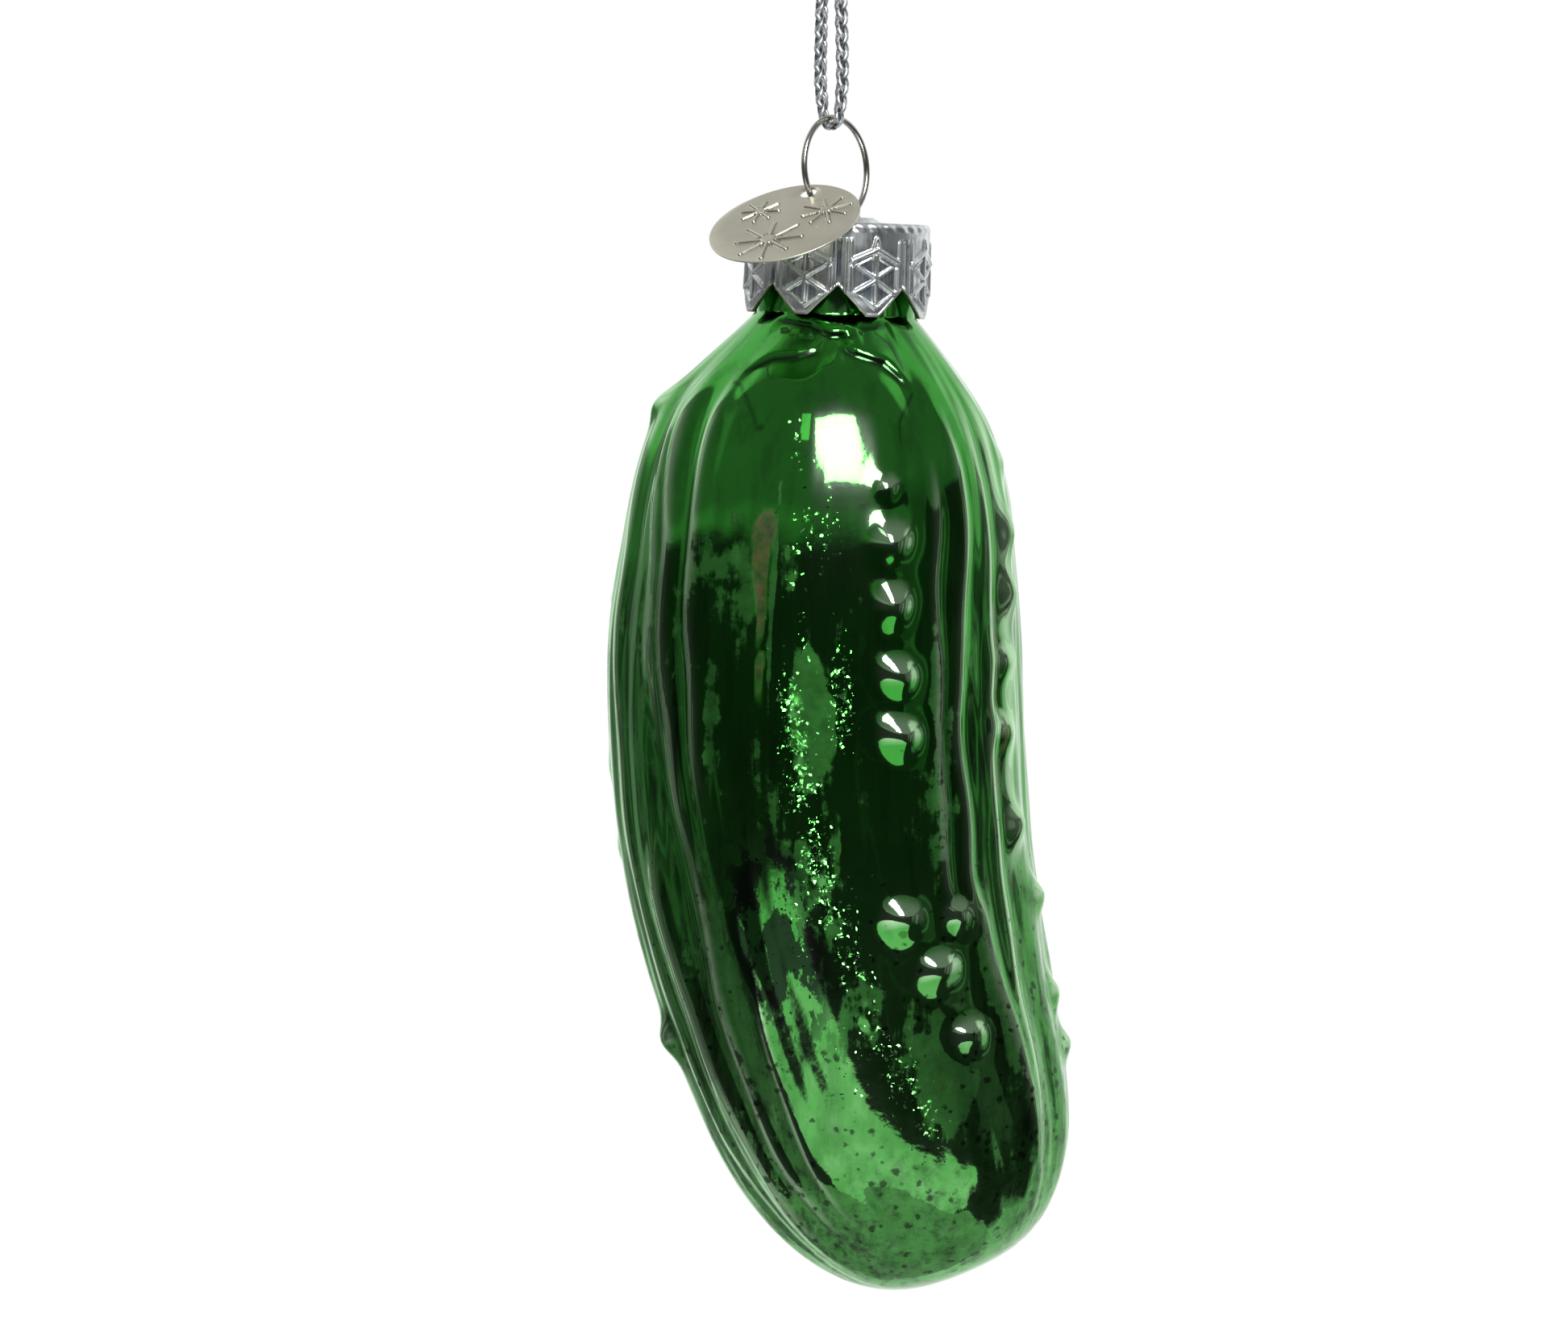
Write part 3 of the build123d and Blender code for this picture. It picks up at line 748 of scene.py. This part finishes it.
def glassMaterial():  # mirror under green lacquer: mottled silvering, pits, crumbled facets that sparkle
    coat = Finish("silveredGreenGlass", Coat_Weight=0.45, Coat_Roughness=0.17, Specular_Tint=coats["tint"])
    pitting, haze, inner = (coat.mark(name) for name in ("pitting", "haze", "inner"))
    # lacquer, thinner with age, drawn into streaks, combed at the sides and spotted low down
    lacquer = coat.ramp(coat.noise(110.0, 4.0), coats["lacquer"])
    thin = coat.ramp(coat.noise(330.0, 4.0, 0.6), coats["thin"])
    drawn = coat.noise(480.0, 4.0, 0.6, coat.stretch(1.0, 1.0, 0.13))
    paler = coat.mix(coat.times(pitting, 0.55), lacquer, thin)
    streaked = coat.shade(paler, coat.ramp(drawn, coats["streaks"]))
    combed = coat.ramp(coat.noise(1050.0, 5.0, 0.66, coat.stretch(1.0, 1.0, 0.11)), coats["combed"])
    spotted = coat.ramp(coat.noise(760.0, 5.0, 0.7), coats["spotted"])
    mottled = coat.shade(coat.shade(streaked, combed, coat.mark("sides")), spotted, coat.mark("low"))
    # ragged haze, pale crests with thinner lacquer and a painted highlight, and rusty runs
    blotch = coat.noise(420.0, 4.0, 0.6)
    ragged = coat.plus(coat.times(haze, 0.5), coat.plus(coat.times(drawn, 0.7), coat.times(blotch, 0.5)))
    dull = coat.spread(ragged, 0.78, 0.86, 0.0, 1.0)
    hazed = coat.mix(coat.times(dull, 0.7), mottled, coat.ramp(blotch, coats["cloudy"]))
    # pale crests: thinner lacquer and a painted highlight
    thinned = coat.mix(coat.mark("bare"), hazed, coats["crest"])
    speckle = coat.noise(1500.0, 3.0, 0.6)
    run = coat.times(coat.mark("rust"), coat.spread(speckle, 0.3, 0.6, 0.6, 1.0))
    rusty = coat.mix(run, thinned, coat.ramp(coat.noise(900.0, 3.0), coats["rust"]))
    # pits that grow with age, dark islands, dark cracks and painted shade under the folds
    uneven = coat.vector("MULTIPLY_ADD", coat.noise(1300.0, 2.0, out="Color"), coats["shake"], coat.spot)
    pits = coat.cells(coats["pitScale"], uneven)
    reach = coat.spread(coat.channel(pits["Color"], "Red"), 0.1, 1.0, -0.05, 0.37)
    edge = coat.math("SUBTRACT", coat.times(reach, pitting), pits["Distance"])
    patchy = coat.noise(430.0, 5.0, 0.65, coat.stretch(1.0, 1.0, 0.5, turn=(0.0, -0.2, 0.0)))
    islands = coat.spread(coat.mark("islands"), 0.2, 0.6, 0.0, 1.0)
    broken = coat.times(islands, coat.spread(patchy, 0.475, 0.505, 0.0, 1.0))
    worn = coat.math("MAXIMUM", coat.spread(edge, -0.10, 0.06, 0.0, 0.85), broken)
    # painted shade under the folds, and the cracks
    worn = coat.math("MAXIMUM", worn, coat.mark("stain"))
    stained = coat.mix(worn, rusty, coats["worn"])
    matt = coat.plus(coat.times(dull, 0.32), coat.times(inner, 0.3))
    # torn edges of the reflections, then loose facets that lean towards the window
    torn = coat.times(coat.noise(520.0, 3.0, 0.45), coat.spread(pitting, 0.55, 1.0, 0.07, 0.22))
    bump = coat.bump(torn, 1.0, 0.00016)
    patches = coat.spread(coat.noise(300.0, 3.0, 0.6, coat.stretch(1.0, 1.0, 0.4)), 0.30, 0.46, 0.0, 1.0)
    cluster = coat.times(patches, coat.spread(coat.noise(1500.0, 3.0, 0.6), 0.45, 0.54, 0.0, 1.0))
    facets = coat.cells(coats["facetScale"], uneven)["Color"]
    chance = coat.math("SUBTRACT", coat.times(coat.mark("glitter"), cluster), coat.channel(facets, "Green"))
    loose = coat.spread(chance, 0.0, 0.04, 0.0, 1.0)
    lean = coat.vector("SUBTRACT", facets, (0.5, 0.5, 0.5))
    upward = coat.vector("MULTIPLY_ADD", lean, coats["sparkleSpread"], coats["sparkleWay"])
    turned = coat.vector("SUBTRACT", upward, bump)
    leaning = coat.add("VectorMath", {0: turned, "Scale": loose}, operation="SCALE").outputs[0]
    facing = coat.vector("NORMALIZE", coat.vector("ADD", bump, leaning))
    return coat.done(
        Base_Color=coat.mix(inner, stained, coats["inside"]),
        Metallic=coat.math("SUBTRACT", 1.0, coat.times(run, 0.85)),
        Roughness=coat.plus(coat.spread(speckle, 0.35, 0.75, 0.02, 0.06), matt),
        Normal=facing, Coat_Normal=facing)


dress(glassPiece(), glassMaterial(), "glass", "green_glass", "glass_body")


# Cap: drawn sheet with a raised centre, a milled edge and eight stamped panels

cap = dict(
    sheet=0.35, bossHeight=0.45, topRadius=8.8, bottomRadius=9.0, edge=0.6,
    skirt=9.1, panels=8, notch=2.9, tip=1.2, turn=0.3, columns=576, skirtRows=88, innerRows=16,
    # rings of the top: on the boss by radius, then radius and height down its slope and over the flat
    bossRings=[0.4, 1.1, *np.arange(1.6, 3.15, 0.12)],
    slope=[(3.2, -0.02), (3.45, -0.14), (3.8, -0.34), (4.1, -0.45), (5.2, -0.45), (6.6, -0.45), (7.6, -0.45)],
    underFlat=(8.3, 7.6, 4.1), underBoss=(3.1, 1.5, 0.4),
    millCount=36, millHeight=0.07, millAt=0.42, millFrom=(7.6, 8.3), millSlant=2.6,
    flakeShift=0.25, flakeDown=5.92,  # the stamped flakes sit a little off the tips
    # raised bars of half a flake from its middle: across, up, across, up, half width, height
    bars=[
        (0, 2.8, 2.45, 1.7, 0.22, 0.3), (0.04, 3.95, 0.34, 2.85, 0.12, 0.22), (0, 2.3, 0, -2.2, 0.17, 0.24),
        (0, 0.1, 1.85, 1.2, 0.16, 0.26), (0, -0.1, 2.05, -1.3, 0.17, 0.26),
        (0.4, 2.05, 1.65, 1.4, 0.09, 0.14), (2.4, 1.1, 2.4, -1.2, 0.12, 0.2),
        (0, -2.76, 1.47, -1.7, 0.13, 0.24), (1.6, -1.6, 2.3, -1.3, 0.1, 0.16),
    ],
    reeds=[(3.12, 12.0), (2.62, 3.9)],  # upright lines: across, and how far down they go
    reedHeight=0.16, reedHalf=0.11, seamDepth=0.34, seamHalf=0.17, linesFrom=(-1.9, -2.4),
    fieldDepth=0.12, fieldHalf=(2.3, 2.4), fieldUp=0.2, hemHeight=0.07, hemHalf=0.14, reliefEase=0.04,
    wireHoles=[(1.65, 2.13), (-1.65, -2.13)], holeEdge=(0.375, 0.575), holeDepth=0.28,
)


def ridge(away, half):  # rounded line, 1 on its middle
    return np.clip(1 - (away / (1.7 * half)) ** 2, 0, 1) ** 1.3


def flatRidge(away, half):  # bar with a flat top and steep sides
    return np.clip(1.7 - 1.1 * np.abs(away) / half, 0, 1)


def capEdge(across):  # lowest point of the skirt: flat tips with straight sides up to the notches
    pitch = math.pi * cap["bottomRadius"] / cap["panels"]
    rise = np.clip((np.abs(across) - cap["tip"] / 2) / (pitch - cap["tip"] / 2), 0, 1)
    return -cap["bossHeight"] - cap["skirt"] + cap["notch"] * rise


def barDistance(x, z, x0, z0, x1, z1):  # how far a point is from a straight bar
    dx, dz = x1 - x0, z1 - z0
    t = np.clip(((x - x0) * dx + (z - z0) * dz) / (dx * dx + dz * dz), 0, 1)
    return np.hypot(x - x0 - t * dx, z - z0 - t * dz)


def panelRelief(across, z):  # height of the stamped flake, upright lines, seam and hem over the plain skirt
    x, up = np.abs(across - cap["flakeShift"]), z + cap["flakeDown"]
    lift = np.zeros(across.shape)
    for x0, z0, x1, z1, half, height in cap["bars"]:
        lift = np.maximum(lift, height * flatRidge(barDistance(x, up, x0, z0, x1, z1), half))
    fieldAcross, fieldHigh = cap["fieldHalf"]
    field = np.exp(-((x / fieldAcross) ** 6 + ((up - cap["fieldUp"]) / fieldHigh) ** 6))
    below = smoothStep(*cap["linesFrom"], z)
    for at, down in cap["reeds"]:
        reed = below * smoothStep(-down - 0.3, -down, z) * ridge(x - at, cap["reedHalf"])
        lift = np.maximum(lift, cap["reedHeight"] * reed)
    lift = np.maximum(lift, cap["hemHeight"] * ridge(z - capEdge(across) - cap["hemHalf"], cap["hemHalf"]))
    toSeam = math.pi * cap["bottomRadius"] / cap["panels"] - np.abs(across)
    return lift - cap["fieldDepth"] * field - cap["seamDepth"] * below * ridge(toSeam, cap["seamHalf"])


def capPiece():
    # rings from the middle of the boss over the milled edge and down the stamped skirt, then back up inside
    turn = np.linspace(0, 2 * np.pi, cap["columns"], endpoint=False)
    pitch = 2 * np.pi / cap["panels"]
    across = ((turn - math.radians(cap["turn"] - 90)) % pitch - pitch / 2) * cap["bottomRadius"]
    edge = capEdge(across)
    start = -cap["bossHeight"] - cap["edge"]
    flare = (cap["bottomRadius"] - cap["topRadius"]) / (cap["skirt"] - cap["edge"])

    def ring(radius, height):
        return radius + 0 * turn, height + 0 * turn

    boss = [(r, 0) for r in cap["bossRings"]]
    bend = np.radians(np.linspace(0, 90, 9))
    corner = np.stack([np.sin(bend) - 1, np.cos(bend)], 1) * cap["edge"] + [cap["topRadius"], start]
    rows = [ring(r, z) for r, z in [*boss, *cap["slope"], *corner]]
    topRows = len(rows)
    for k in np.linspace(0, 1, cap["skirtRows"] + 1)[1:]:
        z = start + k * (edge - start)
        relief = panelRelief(across, z) * smoothStep(0, cap["reliefEase"], k)
        rows.append((cap["topRadius"] + flare * (start - z) + relief, z))
    outer = []
    for r, z in rows:
        onEdge = np.exp(-((z + cap["bossHeight"] + cap["millAt"]) / cap["millAt"]) ** 4)
        mill = cap["millHeight"] * onEdge * smoothStep(*cap["millFrom"], r)
        outer.append((r + mill * np.cos(cap["millCount"] * turn + cap["millSlant"] * z), z))
    inner = []
    for k in np.linspace(1, 0, cap["innerRows"]):
        z = start + k * (edge - start)
        inner.append((cap["topRadius"] - cap["sheet"] + flare * (start - z), z))
    inner += [ring(r, -cap["bossHeight"] - cap["sheet"]) for r in cap["underFlat"]]
    inner += [ring(r, -cap["sheet"]) for r in cap["underBoss"]]
    grid = np.array([np.stack([r * np.cos(turn), r * np.sin(turn), z], 1) for r, z in outer + inner])
    crown = grid[: len(boss) + 1]
    for x, y in cap["wireHoles"]:
        away = np.hypot(crown[..., 0] - x, crown[..., 1] - y)
        crown[..., 2] -= cap["holeDepth"] * (1 - smoothStep(*cap["holeEdge"], away))
    tips = [capOrigin, capOrigin - cap["sheet"] * capFrame[:, 2]]
    piece = gridPiece("cap-stamped", capOrigin + grid @ capFrame.T, *tips)
    depth = np.array([r - (cap["topRadius"] + flare * np.maximum(0, start - z)) for r, z in outer])
    # painted bluish shade in the sunken field and seams of the skirt
    recess = smoothStep(0.03, -0.12, depth)
    recess[:topRows] = 0
    markPoints(piece, "recess", recess)
    cut = np.zeros((len(outer) + 1, cap["columns"]))
    cut[-4:] = [[0.3], [0.8], [1.0], [1.0]]  # painted warm reflection over the skirt's lower edge
    markPoints(piece, "cutEdge", cut)
    return piece


def capMaterial():  # brushed and rubbed aluminium: bright bars, painted cloudy bluish shade in the sunken field and seams, painted brownish reflection along the cut edge
    metal = Finish("stampedAluminium", Metallic=1.0)
    patina = metal.noise(380.0, 5.0, 0.62)
    brushed = metal.noise(3200.0, 3.0, at=metal.stretch(1.0, 1.0, 0.07))
    cloudy = metal.plus(metal.times(patina, 0.65), metal.times(brushed, 0.35))
    # painted bluish shade in the recesses
    grime = metal.times(metal.mark("recess"), metal.spread(cloudy, 0.42, 0.56, 1.0, 0.1))
    bright = [(0.38, (0.54, 0.58, 0.59)), (0.5, (0.74, 0.78, 0.78)), (0.62, (0.86, 0.89, 0.89))]
    aged = metal.mix(grime, metal.ramp(cloudy, bright), (0.19, 0.22, 0.26))
    return metal.done(
        # painted brownish reflection along the skirt's lower edge
        Base_Color=metal.mix(metal.times(metal.mark("cutEdge"), 0.7), aged, (0.50, 0.41, 0.31)),
        Roughness=metal.spread(cloudy, 0.38, 0.62, 0.42, 0.24),
        Normal=metal.bump(brushed, 0.5, 0.00003))


dress(capPiece(), capMaterial(), "cap_and_hanger", "cap_metal", "cap")


# Hanger: spring wire bent to a round eye, with two sprung legs inside the neck

wire = dict(
    radius=0.3, eyeRadius=4.9, shoulderRadius=1.2, legOffset=2.7,
    legCorner=1.8,  # how far below the reverse bend the leg's curve has its corner
    footReach=6.05, footDepth=8.6, turn=52.0, lean=-5.0, sides=20, step=0.12,
    eyeSteps=90, bendSteps=24, legSteps=40,
)
wireFrame = turnAbout("y", wire["lean"]) @ turnAbout("z", wire["turn"])


def wireHalf(side):
    # half of the eye's circle from its top, the reverse bend, and a leg that curves out to its foot
    reach = wire["eyeRadius"] + wire["shoulderRadius"]
    foot = math.asin((wire["legOffset"] + wire["shoulderRadius"]) / reach)
    height = wire["eyeRadius"] + reach * math.cos(foot)
    a = np.linspace(0, math.pi - foot, wire["eyeSteps"])
    eye = np.stack([wire["eyeRadius"] * np.sin(a), wire["eyeRadius"] * (np.cos(a) - 1)], 1)
    b = np.linspace(math.pi / 2 + foot, math.pi, wire["bendSteps"])[1:]
    bend = np.stack([reach * math.sin(foot) + wire["shoulderRadius"] * np.cos(b),
                     wire["shoulderRadius"] * np.sin(b) - height], 1)
    flat = np.concatenate([eye, bend])
    upper = wireTop + np.stack([side * flat[:, 0], 0 * flat[:, 0], flat[:, 1]], 1) @ wireFrame.T
    corner = wireTop + wireFrame @ np.array([side * wire["legOffset"], 0, -height - wire["legCorner"]])
    outward = turnAbout("z", wire["turn"]) @ np.array([side * wire["footReach"], 0, 0])
    footPoint = capOrigin + capFrame @ (outward - [0, 0, wire["footDepth"]])
    t = np.linspace(0, 1, wire["legSteps"])[1:, None]
    leg = (1 - t) ** 2 * upper[-1] + 2 * t * (1 - t) * corner + t ** 2 * footPoint
    return np.concatenate([upper, leg])


def wirePiece():  # round tube along both halves, foot to foot
    line = evenPoints(np.concatenate([wireHalf(-1)[:0:-1], wireHalf(1)]), wire["step"])[0]
    rows = roundTube(line, wire["radius"], wire["sides"], wireFrame @ np.array([0, 1.0, 0]))
    return gridPiece("hanger-wire", rows, line[0], line[-1])


def wireMaterial():  # drawn wire with faint marks and a warm tarnish
    steel = Finish("brightWire", Metallic=1.0)
    marks = steel.noise(420.0, 3.0)
    return steel.done(
        Base_Color=steel.ramp(marks, [(0.3, (0.44, 0.42, 0.38)), (0.7, (0.56, 0.54, 0.50))]),
        Roughness=steel.spread(marks, 0.3, 0.7, 0.18, 0.24))


dress(wirePiece(), wireMaterial(), "cap_and_hanger", "bright_wire", "hanger_wire")


# Tag: a thin disc on the wire, stamped with three star bursts

tag = dict(
    radius=7.45, thickness=0.35, holeRadius=0.8, holeSlot=0.24, holeAt=0.3, centreAt=6.1,
    heading=-117.0, slope=29.55,
    columns=432, rows=150, underRows=22, edgeRound=0.1, bow=0.03, bowLengths=(3.1, 4.3), bowPhase=0.8,
    # bursts: place downhill and across, ray length, turn
    bursts=[(9.5, -0.25, 3.5, 12.0), (4.1, -3.5, 2.0, 5.0), (3.8, 3.5, 2.6, 30.0)],
    rays=8, rayHeight=0.2, rayFrom=0.22, rayUneven=(0.12, 1.9), dotAt=0.34, dotShare=0.8,
    raySize=(0.1008, 0.0126), beadSize=(0.102, 0.0204),  # half width, and what each mm of ray length adds
    bossShare=0.24, bossEdge=(1.6, 1.5), bossLift=1.1, beadLift=1.2, dotLift=0.9,
)
tagOrigin = np.array(joints["tag_lift"]["pos_m"]) / mm
tagFrame = turnAbout("z", tag["heading"]) @ turnAbout("y", tag["slope"])


def burstRelief(x, y):  # round boss, flat-topped rays with a bead at the end, and small beads between them
    lift = np.zeros(x.shape)
    edge, fall = tag["bossEdge"]
    uneven, beat = tag["rayUneven"]
    for bx, by, length, turn in tag["bursts"]:
        rayHalf, bead = (least + grow * length for least, grow in (tag["raySize"], tag["beadSize"]))
        away = np.hypot(x - bx, y - by) / (tag["bossShare"] * length)
        lift = np.maximum(lift, tag["bossLift"] * np.clip(edge - fall * away ** 3, 0, 1))
        for k in range(tag["rays"]):
            a = math.radians(turn + 360 * k / tag["rays"])
            reach = length * (1 - uneven * math.sin(beat * k) ** 2)
            along = (x - bx) * math.cos(a) + (y - by) * math.sin(a)
            side = (y - by) * math.cos(a) - (x - bx) * math.sin(a)
            off = np.hypot(along - np.clip(along, tag["rayFrom"] * length, reach), side)
            lift = np.maximum(lift, flatRidge(off, rayHalf))
            lift = np.maximum(lift, tag["beadLift"] * ridge(np.hypot(along - reach, side), bead))
            b = a + math.pi / tag["rays"]
            out = tag["dotAt"] * length
            dot = np.hypot(x - bx - out * math.cos(b), y - by - out * math.sin(b))
            lift = np.maximum(lift, tag["dotLift"] * ridge(dot, tag["dotShare"] * bead))
    return lift


def tagPiece():
    # straight lines from the hole's rim to the disc's rim, over the top, round the edge and back underneath
    turn = np.linspace(0, 2 * np.pi, tag["columns"], endpoint=False)
    pull = tag["holeRadius"] + tag["holeSlot"] * (np.cos(turn) < 0)  # the hole is longer where the wire pulls
    hole = np.stack([tag["holeAt"] + pull * np.cos(turn), tag["holeRadius"] * np.sin(turn)], 1)
    rimPoint = np.stack([tag["centreAt"] + tag["radius"] * np.cos(turn), tag["radius"] * np.sin(turn)], 1)
    half = tag["thickness"] / 2

    def face(count):  # flat places, how far the edge is rounded down, and a faint bow of the sheet
        share = np.linspace(0, 1, count)
        flat = hole[None] + share[:, None, None] * (rimPoint - hole)[None]
        shy = np.minimum(share, 1 - share) * np.linalg.norm(rimPoint - hole, axis=1).min()
        drop = tag["edgeRound"] * np.clip(1 - shy / tag["edgeRound"], 0, 1)[:, None] ** 2
        downhill, across = tag["bowLengths"]
        wave = np.sin(flat[..., 0] / downhill + tag["bowPhase"]) * np.cos(flat[..., 1] / across)
        return flat, drop, tag["bow"] * wave

    flat, drop, bow = face(tag["rows"])
    relief = burstRelief(flat[..., 0], flat[..., 1])
    top = np.dstack([flat, half + tag["rayHeight"] * relief + bow - drop])
    flat, drop, bow = face(tag["underRows"])
    under = np.dstack([flat, -half + bow + drop])
    piece = gridPiece("tag-disc", tagOrigin + np.concatenate([top, under[::-1]]) @ tagFrame.T, joinRows=True)
    markPoints(piece, "raised", relief)
    return piece


def tagMaterial():  # satin warm silver with rolling marks, painted shade at the foot and on the sides of the stamped rays
    satin = Finish("satinTag", Metallic=1.0, Anisotropic=0.3)
    marks = satin.noise(120.0, 4.0, at=satin.stretch(1.0, 14.0, 14.0, turn=(0.0, 0.5, 0.6)))
    tone = satin.ramp(satin.noise(160.0, 2.0), [(0.3, (0.72, 0.70, 0.565)), (0.7, (0.83, 0.81, 0.665))])
    # painted shade on the sloping sides of the stamped rays
    stamped = satin.ramp(satin.mark("raised"), [(0.0, 1.0), (0.22, 0.34), (0.6, 0.42), (0.9, 1.0)])
    return satin.done(
        Base_Color=satin.shade(tone, stamped),
        Roughness=satin.spread(marks, 0.3, 0.7, 0.28, 0.4),
        Normal=satin.bump(marks, 0.4, 0.00002))


dress(tagPiece(), tagMaterial(), "tag", "tag_metal", "tag")


# Studio: white backdrop, grey ceiling, dim room behind the camera, pale table card, softbox

studio = dict(
    backdrop=1.0, ceiling=0.42, ceilingFrom=34.0, ceilingEdge=8.0,
    # soft-edged zones by direction: azimuth from and to (0 is the camera, + right), elevation from and to,
    # edge, level, and how far the zone's upper edge falls for each degree to the right
    zones=[
        (-148, 124, 15, 95, 4, 0.24, 0), (-112, -66, 15, 48, 8, 0.42, 0), (-148, -100, 13, 62, 6, 0.95, 0),
        (94, 124, 10, 60, 6, 0.85, 0), (-150, 124, -95, 17, 4, 0.36, 0), (103, 124, -70, 19, 3, 0.8, 0),
        (-150, 150, -95, -64, 4, 0.68, 0), (-130, 106, -27, 15, 4, 0.11, -0.07),
        (-60, 20, -27, 12.8, 1.5, 0.04, 0), (20, 60, -27, 20.6, 1.5, 0.04, 0),
        (-62, 98, -69, -16, 2.5, 0.05, 0), (-37, 54, -62, -21.5, 1.2, 1.18, 0.2),
        (-62, -32, -24, -12, 2, 0.05, 0),
        (-119, -111, -30, 15, 3, 0.26, 0), (-99, -94, -25, 13, 2, 0.22, 0), (-84, -79, -20, 11, 2, 0.22, 0),
        (-70, -65, -22, 8, 2, 0.18, 0), (-50, -44, -12, 3, 2, 0.13, 0), (62, 67, -2, 13, 1.5, 0.2, 0),
        (82, 88, -20, 14, 2, 0.32, 0), (98, 103, -20, 16, 2, 0.36, 0),
    ],
    aim=(0, 0, -75.0),  # the middle of the glass, which the lamps face
    softbox=dict(azimuth=14.0, elevation=36.5, width=17.0, height=23.0, distance=0.9, brightness=25.0),
    fill=dict(azimuth=-13.0, elevation=44.0, width=9.0, height=12.0, distance=0.9, brightness=1.6),
    floorDrop=750.0, floorRadius=500.0, floorRings=8, floorSides=96, floorColour=(0.8, 0.8, 0.79, 1),
)


def studioWorld():
    world = bpy.data.worlds.new("studio")
    world.use_nodes = True
    bpy.context.scene.world = world
    world.node_tree.nodes.clear()
    sky = NodeKit(world.node_tree)
    way = sky.add("SeparateXYZ", {0: sky.add("TexCoord").outputs["Generated"]}).outputs
    azimuth = sky.math("DEGREES", sky.math("ARCTAN2", way["X"], sky.times(way["Y"], -1.0)))
    elevation = sky.math("DEGREES", sky.math("ARCSINE", way["Z"]))

    def between(value, low, high, edge):  # 1 between low and high, eased over the edge
        up = sky.spread(value, low - edge, low + edge, 0.0, 1.0, interpolation_type="SMOOTHSTEP")
        down = sky.spread(value, high - edge, high + edge, 1.0, 0.0, interpolation_type="SMOOTHSTEP")
        return sky.times(up, down)

    def mixIn(level, share, value):
        return sky.add("Mix", {0: share, 2: level, 3: value}, data_type="FLOAT").outputs[0]

    overhead = between(elevation, studio["ceilingFrom"], 120, studio["ceilingEdge"])
    level = mixIn(studio["backdrop"], overhead, studio["ceiling"])
    for azLow, azHigh, elLow, elHigh, edge, value, fall in studio["zones"]:
        tilted = sky.plus(elevation, sky.times(azimuth, fall)) if fall else elevation
        upright = sky.times(between(elevation, elLow, 180, edge), between(tilted, -180, elHigh, edge))
        level = mixIn(level, sky.times(between(azimuth, azLow, azHigh, edge), upright), value)
    room = sky.add("Background", {"Color": level})
    white = sky.add("Background", {"Color": (1, 1, 1, 1), "Strength": 1.0})
    ray = sky.add("LightPath").outputs["Is Camera Ray"]
    pick = sky.add("MixShader", {0: ray, 1: room.outputs[0], 2: white.outputs[0]})
    sky.add("OutputWorld", {"Surface": pick.outputs[0]})


def softLamp(name, spec):  # an area lamp that fills the given angles, with the given brightness
    a, e = math.radians(spec["azimuth"]), math.radians(spec["elevation"])
    toLamp = np.array([math.sin(a) * math.cos(e), -math.cos(a) * math.cos(e), math.sin(e)])
    lamp = bpy.data.lights.new(name, "AREA")
    lamp.shape = "RECTANGLE"
    lamp.size = 2 * spec["distance"] * math.tan(math.radians(spec["width"] / 2))
    lamp.size_y = 2 * spec["distance"] * math.tan(math.radians(spec["height"] / 2))
    lamp.energy = spec["brightness"] * math.pi * lamp.size * lamp.size_y
    holder = bpy.data.objects.new(name, lamp)
    holder.location = np.array(studio["aim"]) * mm + spec["distance"] * toLamp
    holder.rotation_euler = (math.pi / 2 - e, 0, a)
    bpy.context.scene.collection.objects.link(holder)


def paleFloor():  # a flat disc far below the ornament
    turn = np.linspace(0, 2 * np.pi, studio["floorSides"], endpoint=False)
    rings = np.linspace(0.05, 1, studio["floorRings"])[:, None] * studio["floorRadius"]
    down = np.full((studio["floorRings"], studio["floorSides"]), -studio["floorDrop"])
    rows = np.stack([rings * np.cos(turn), rings * np.sin(turn), down], -1)
    piece = gridPiece("floor", rows, startTip=(0, 0, -studio["floorDrop"]))
    piece.data.materials.append(Finish("paleFloor", Roughness=0.8, Base_Color=studio["floorColour"]).material)


studioWorld()
softLamp("softbox", studio["softbox"])
softLamp("fill", studio["fill"])
paleFloor()
bpy.context.scene.view_settings.view_transform = "Standard"
print("studio set")
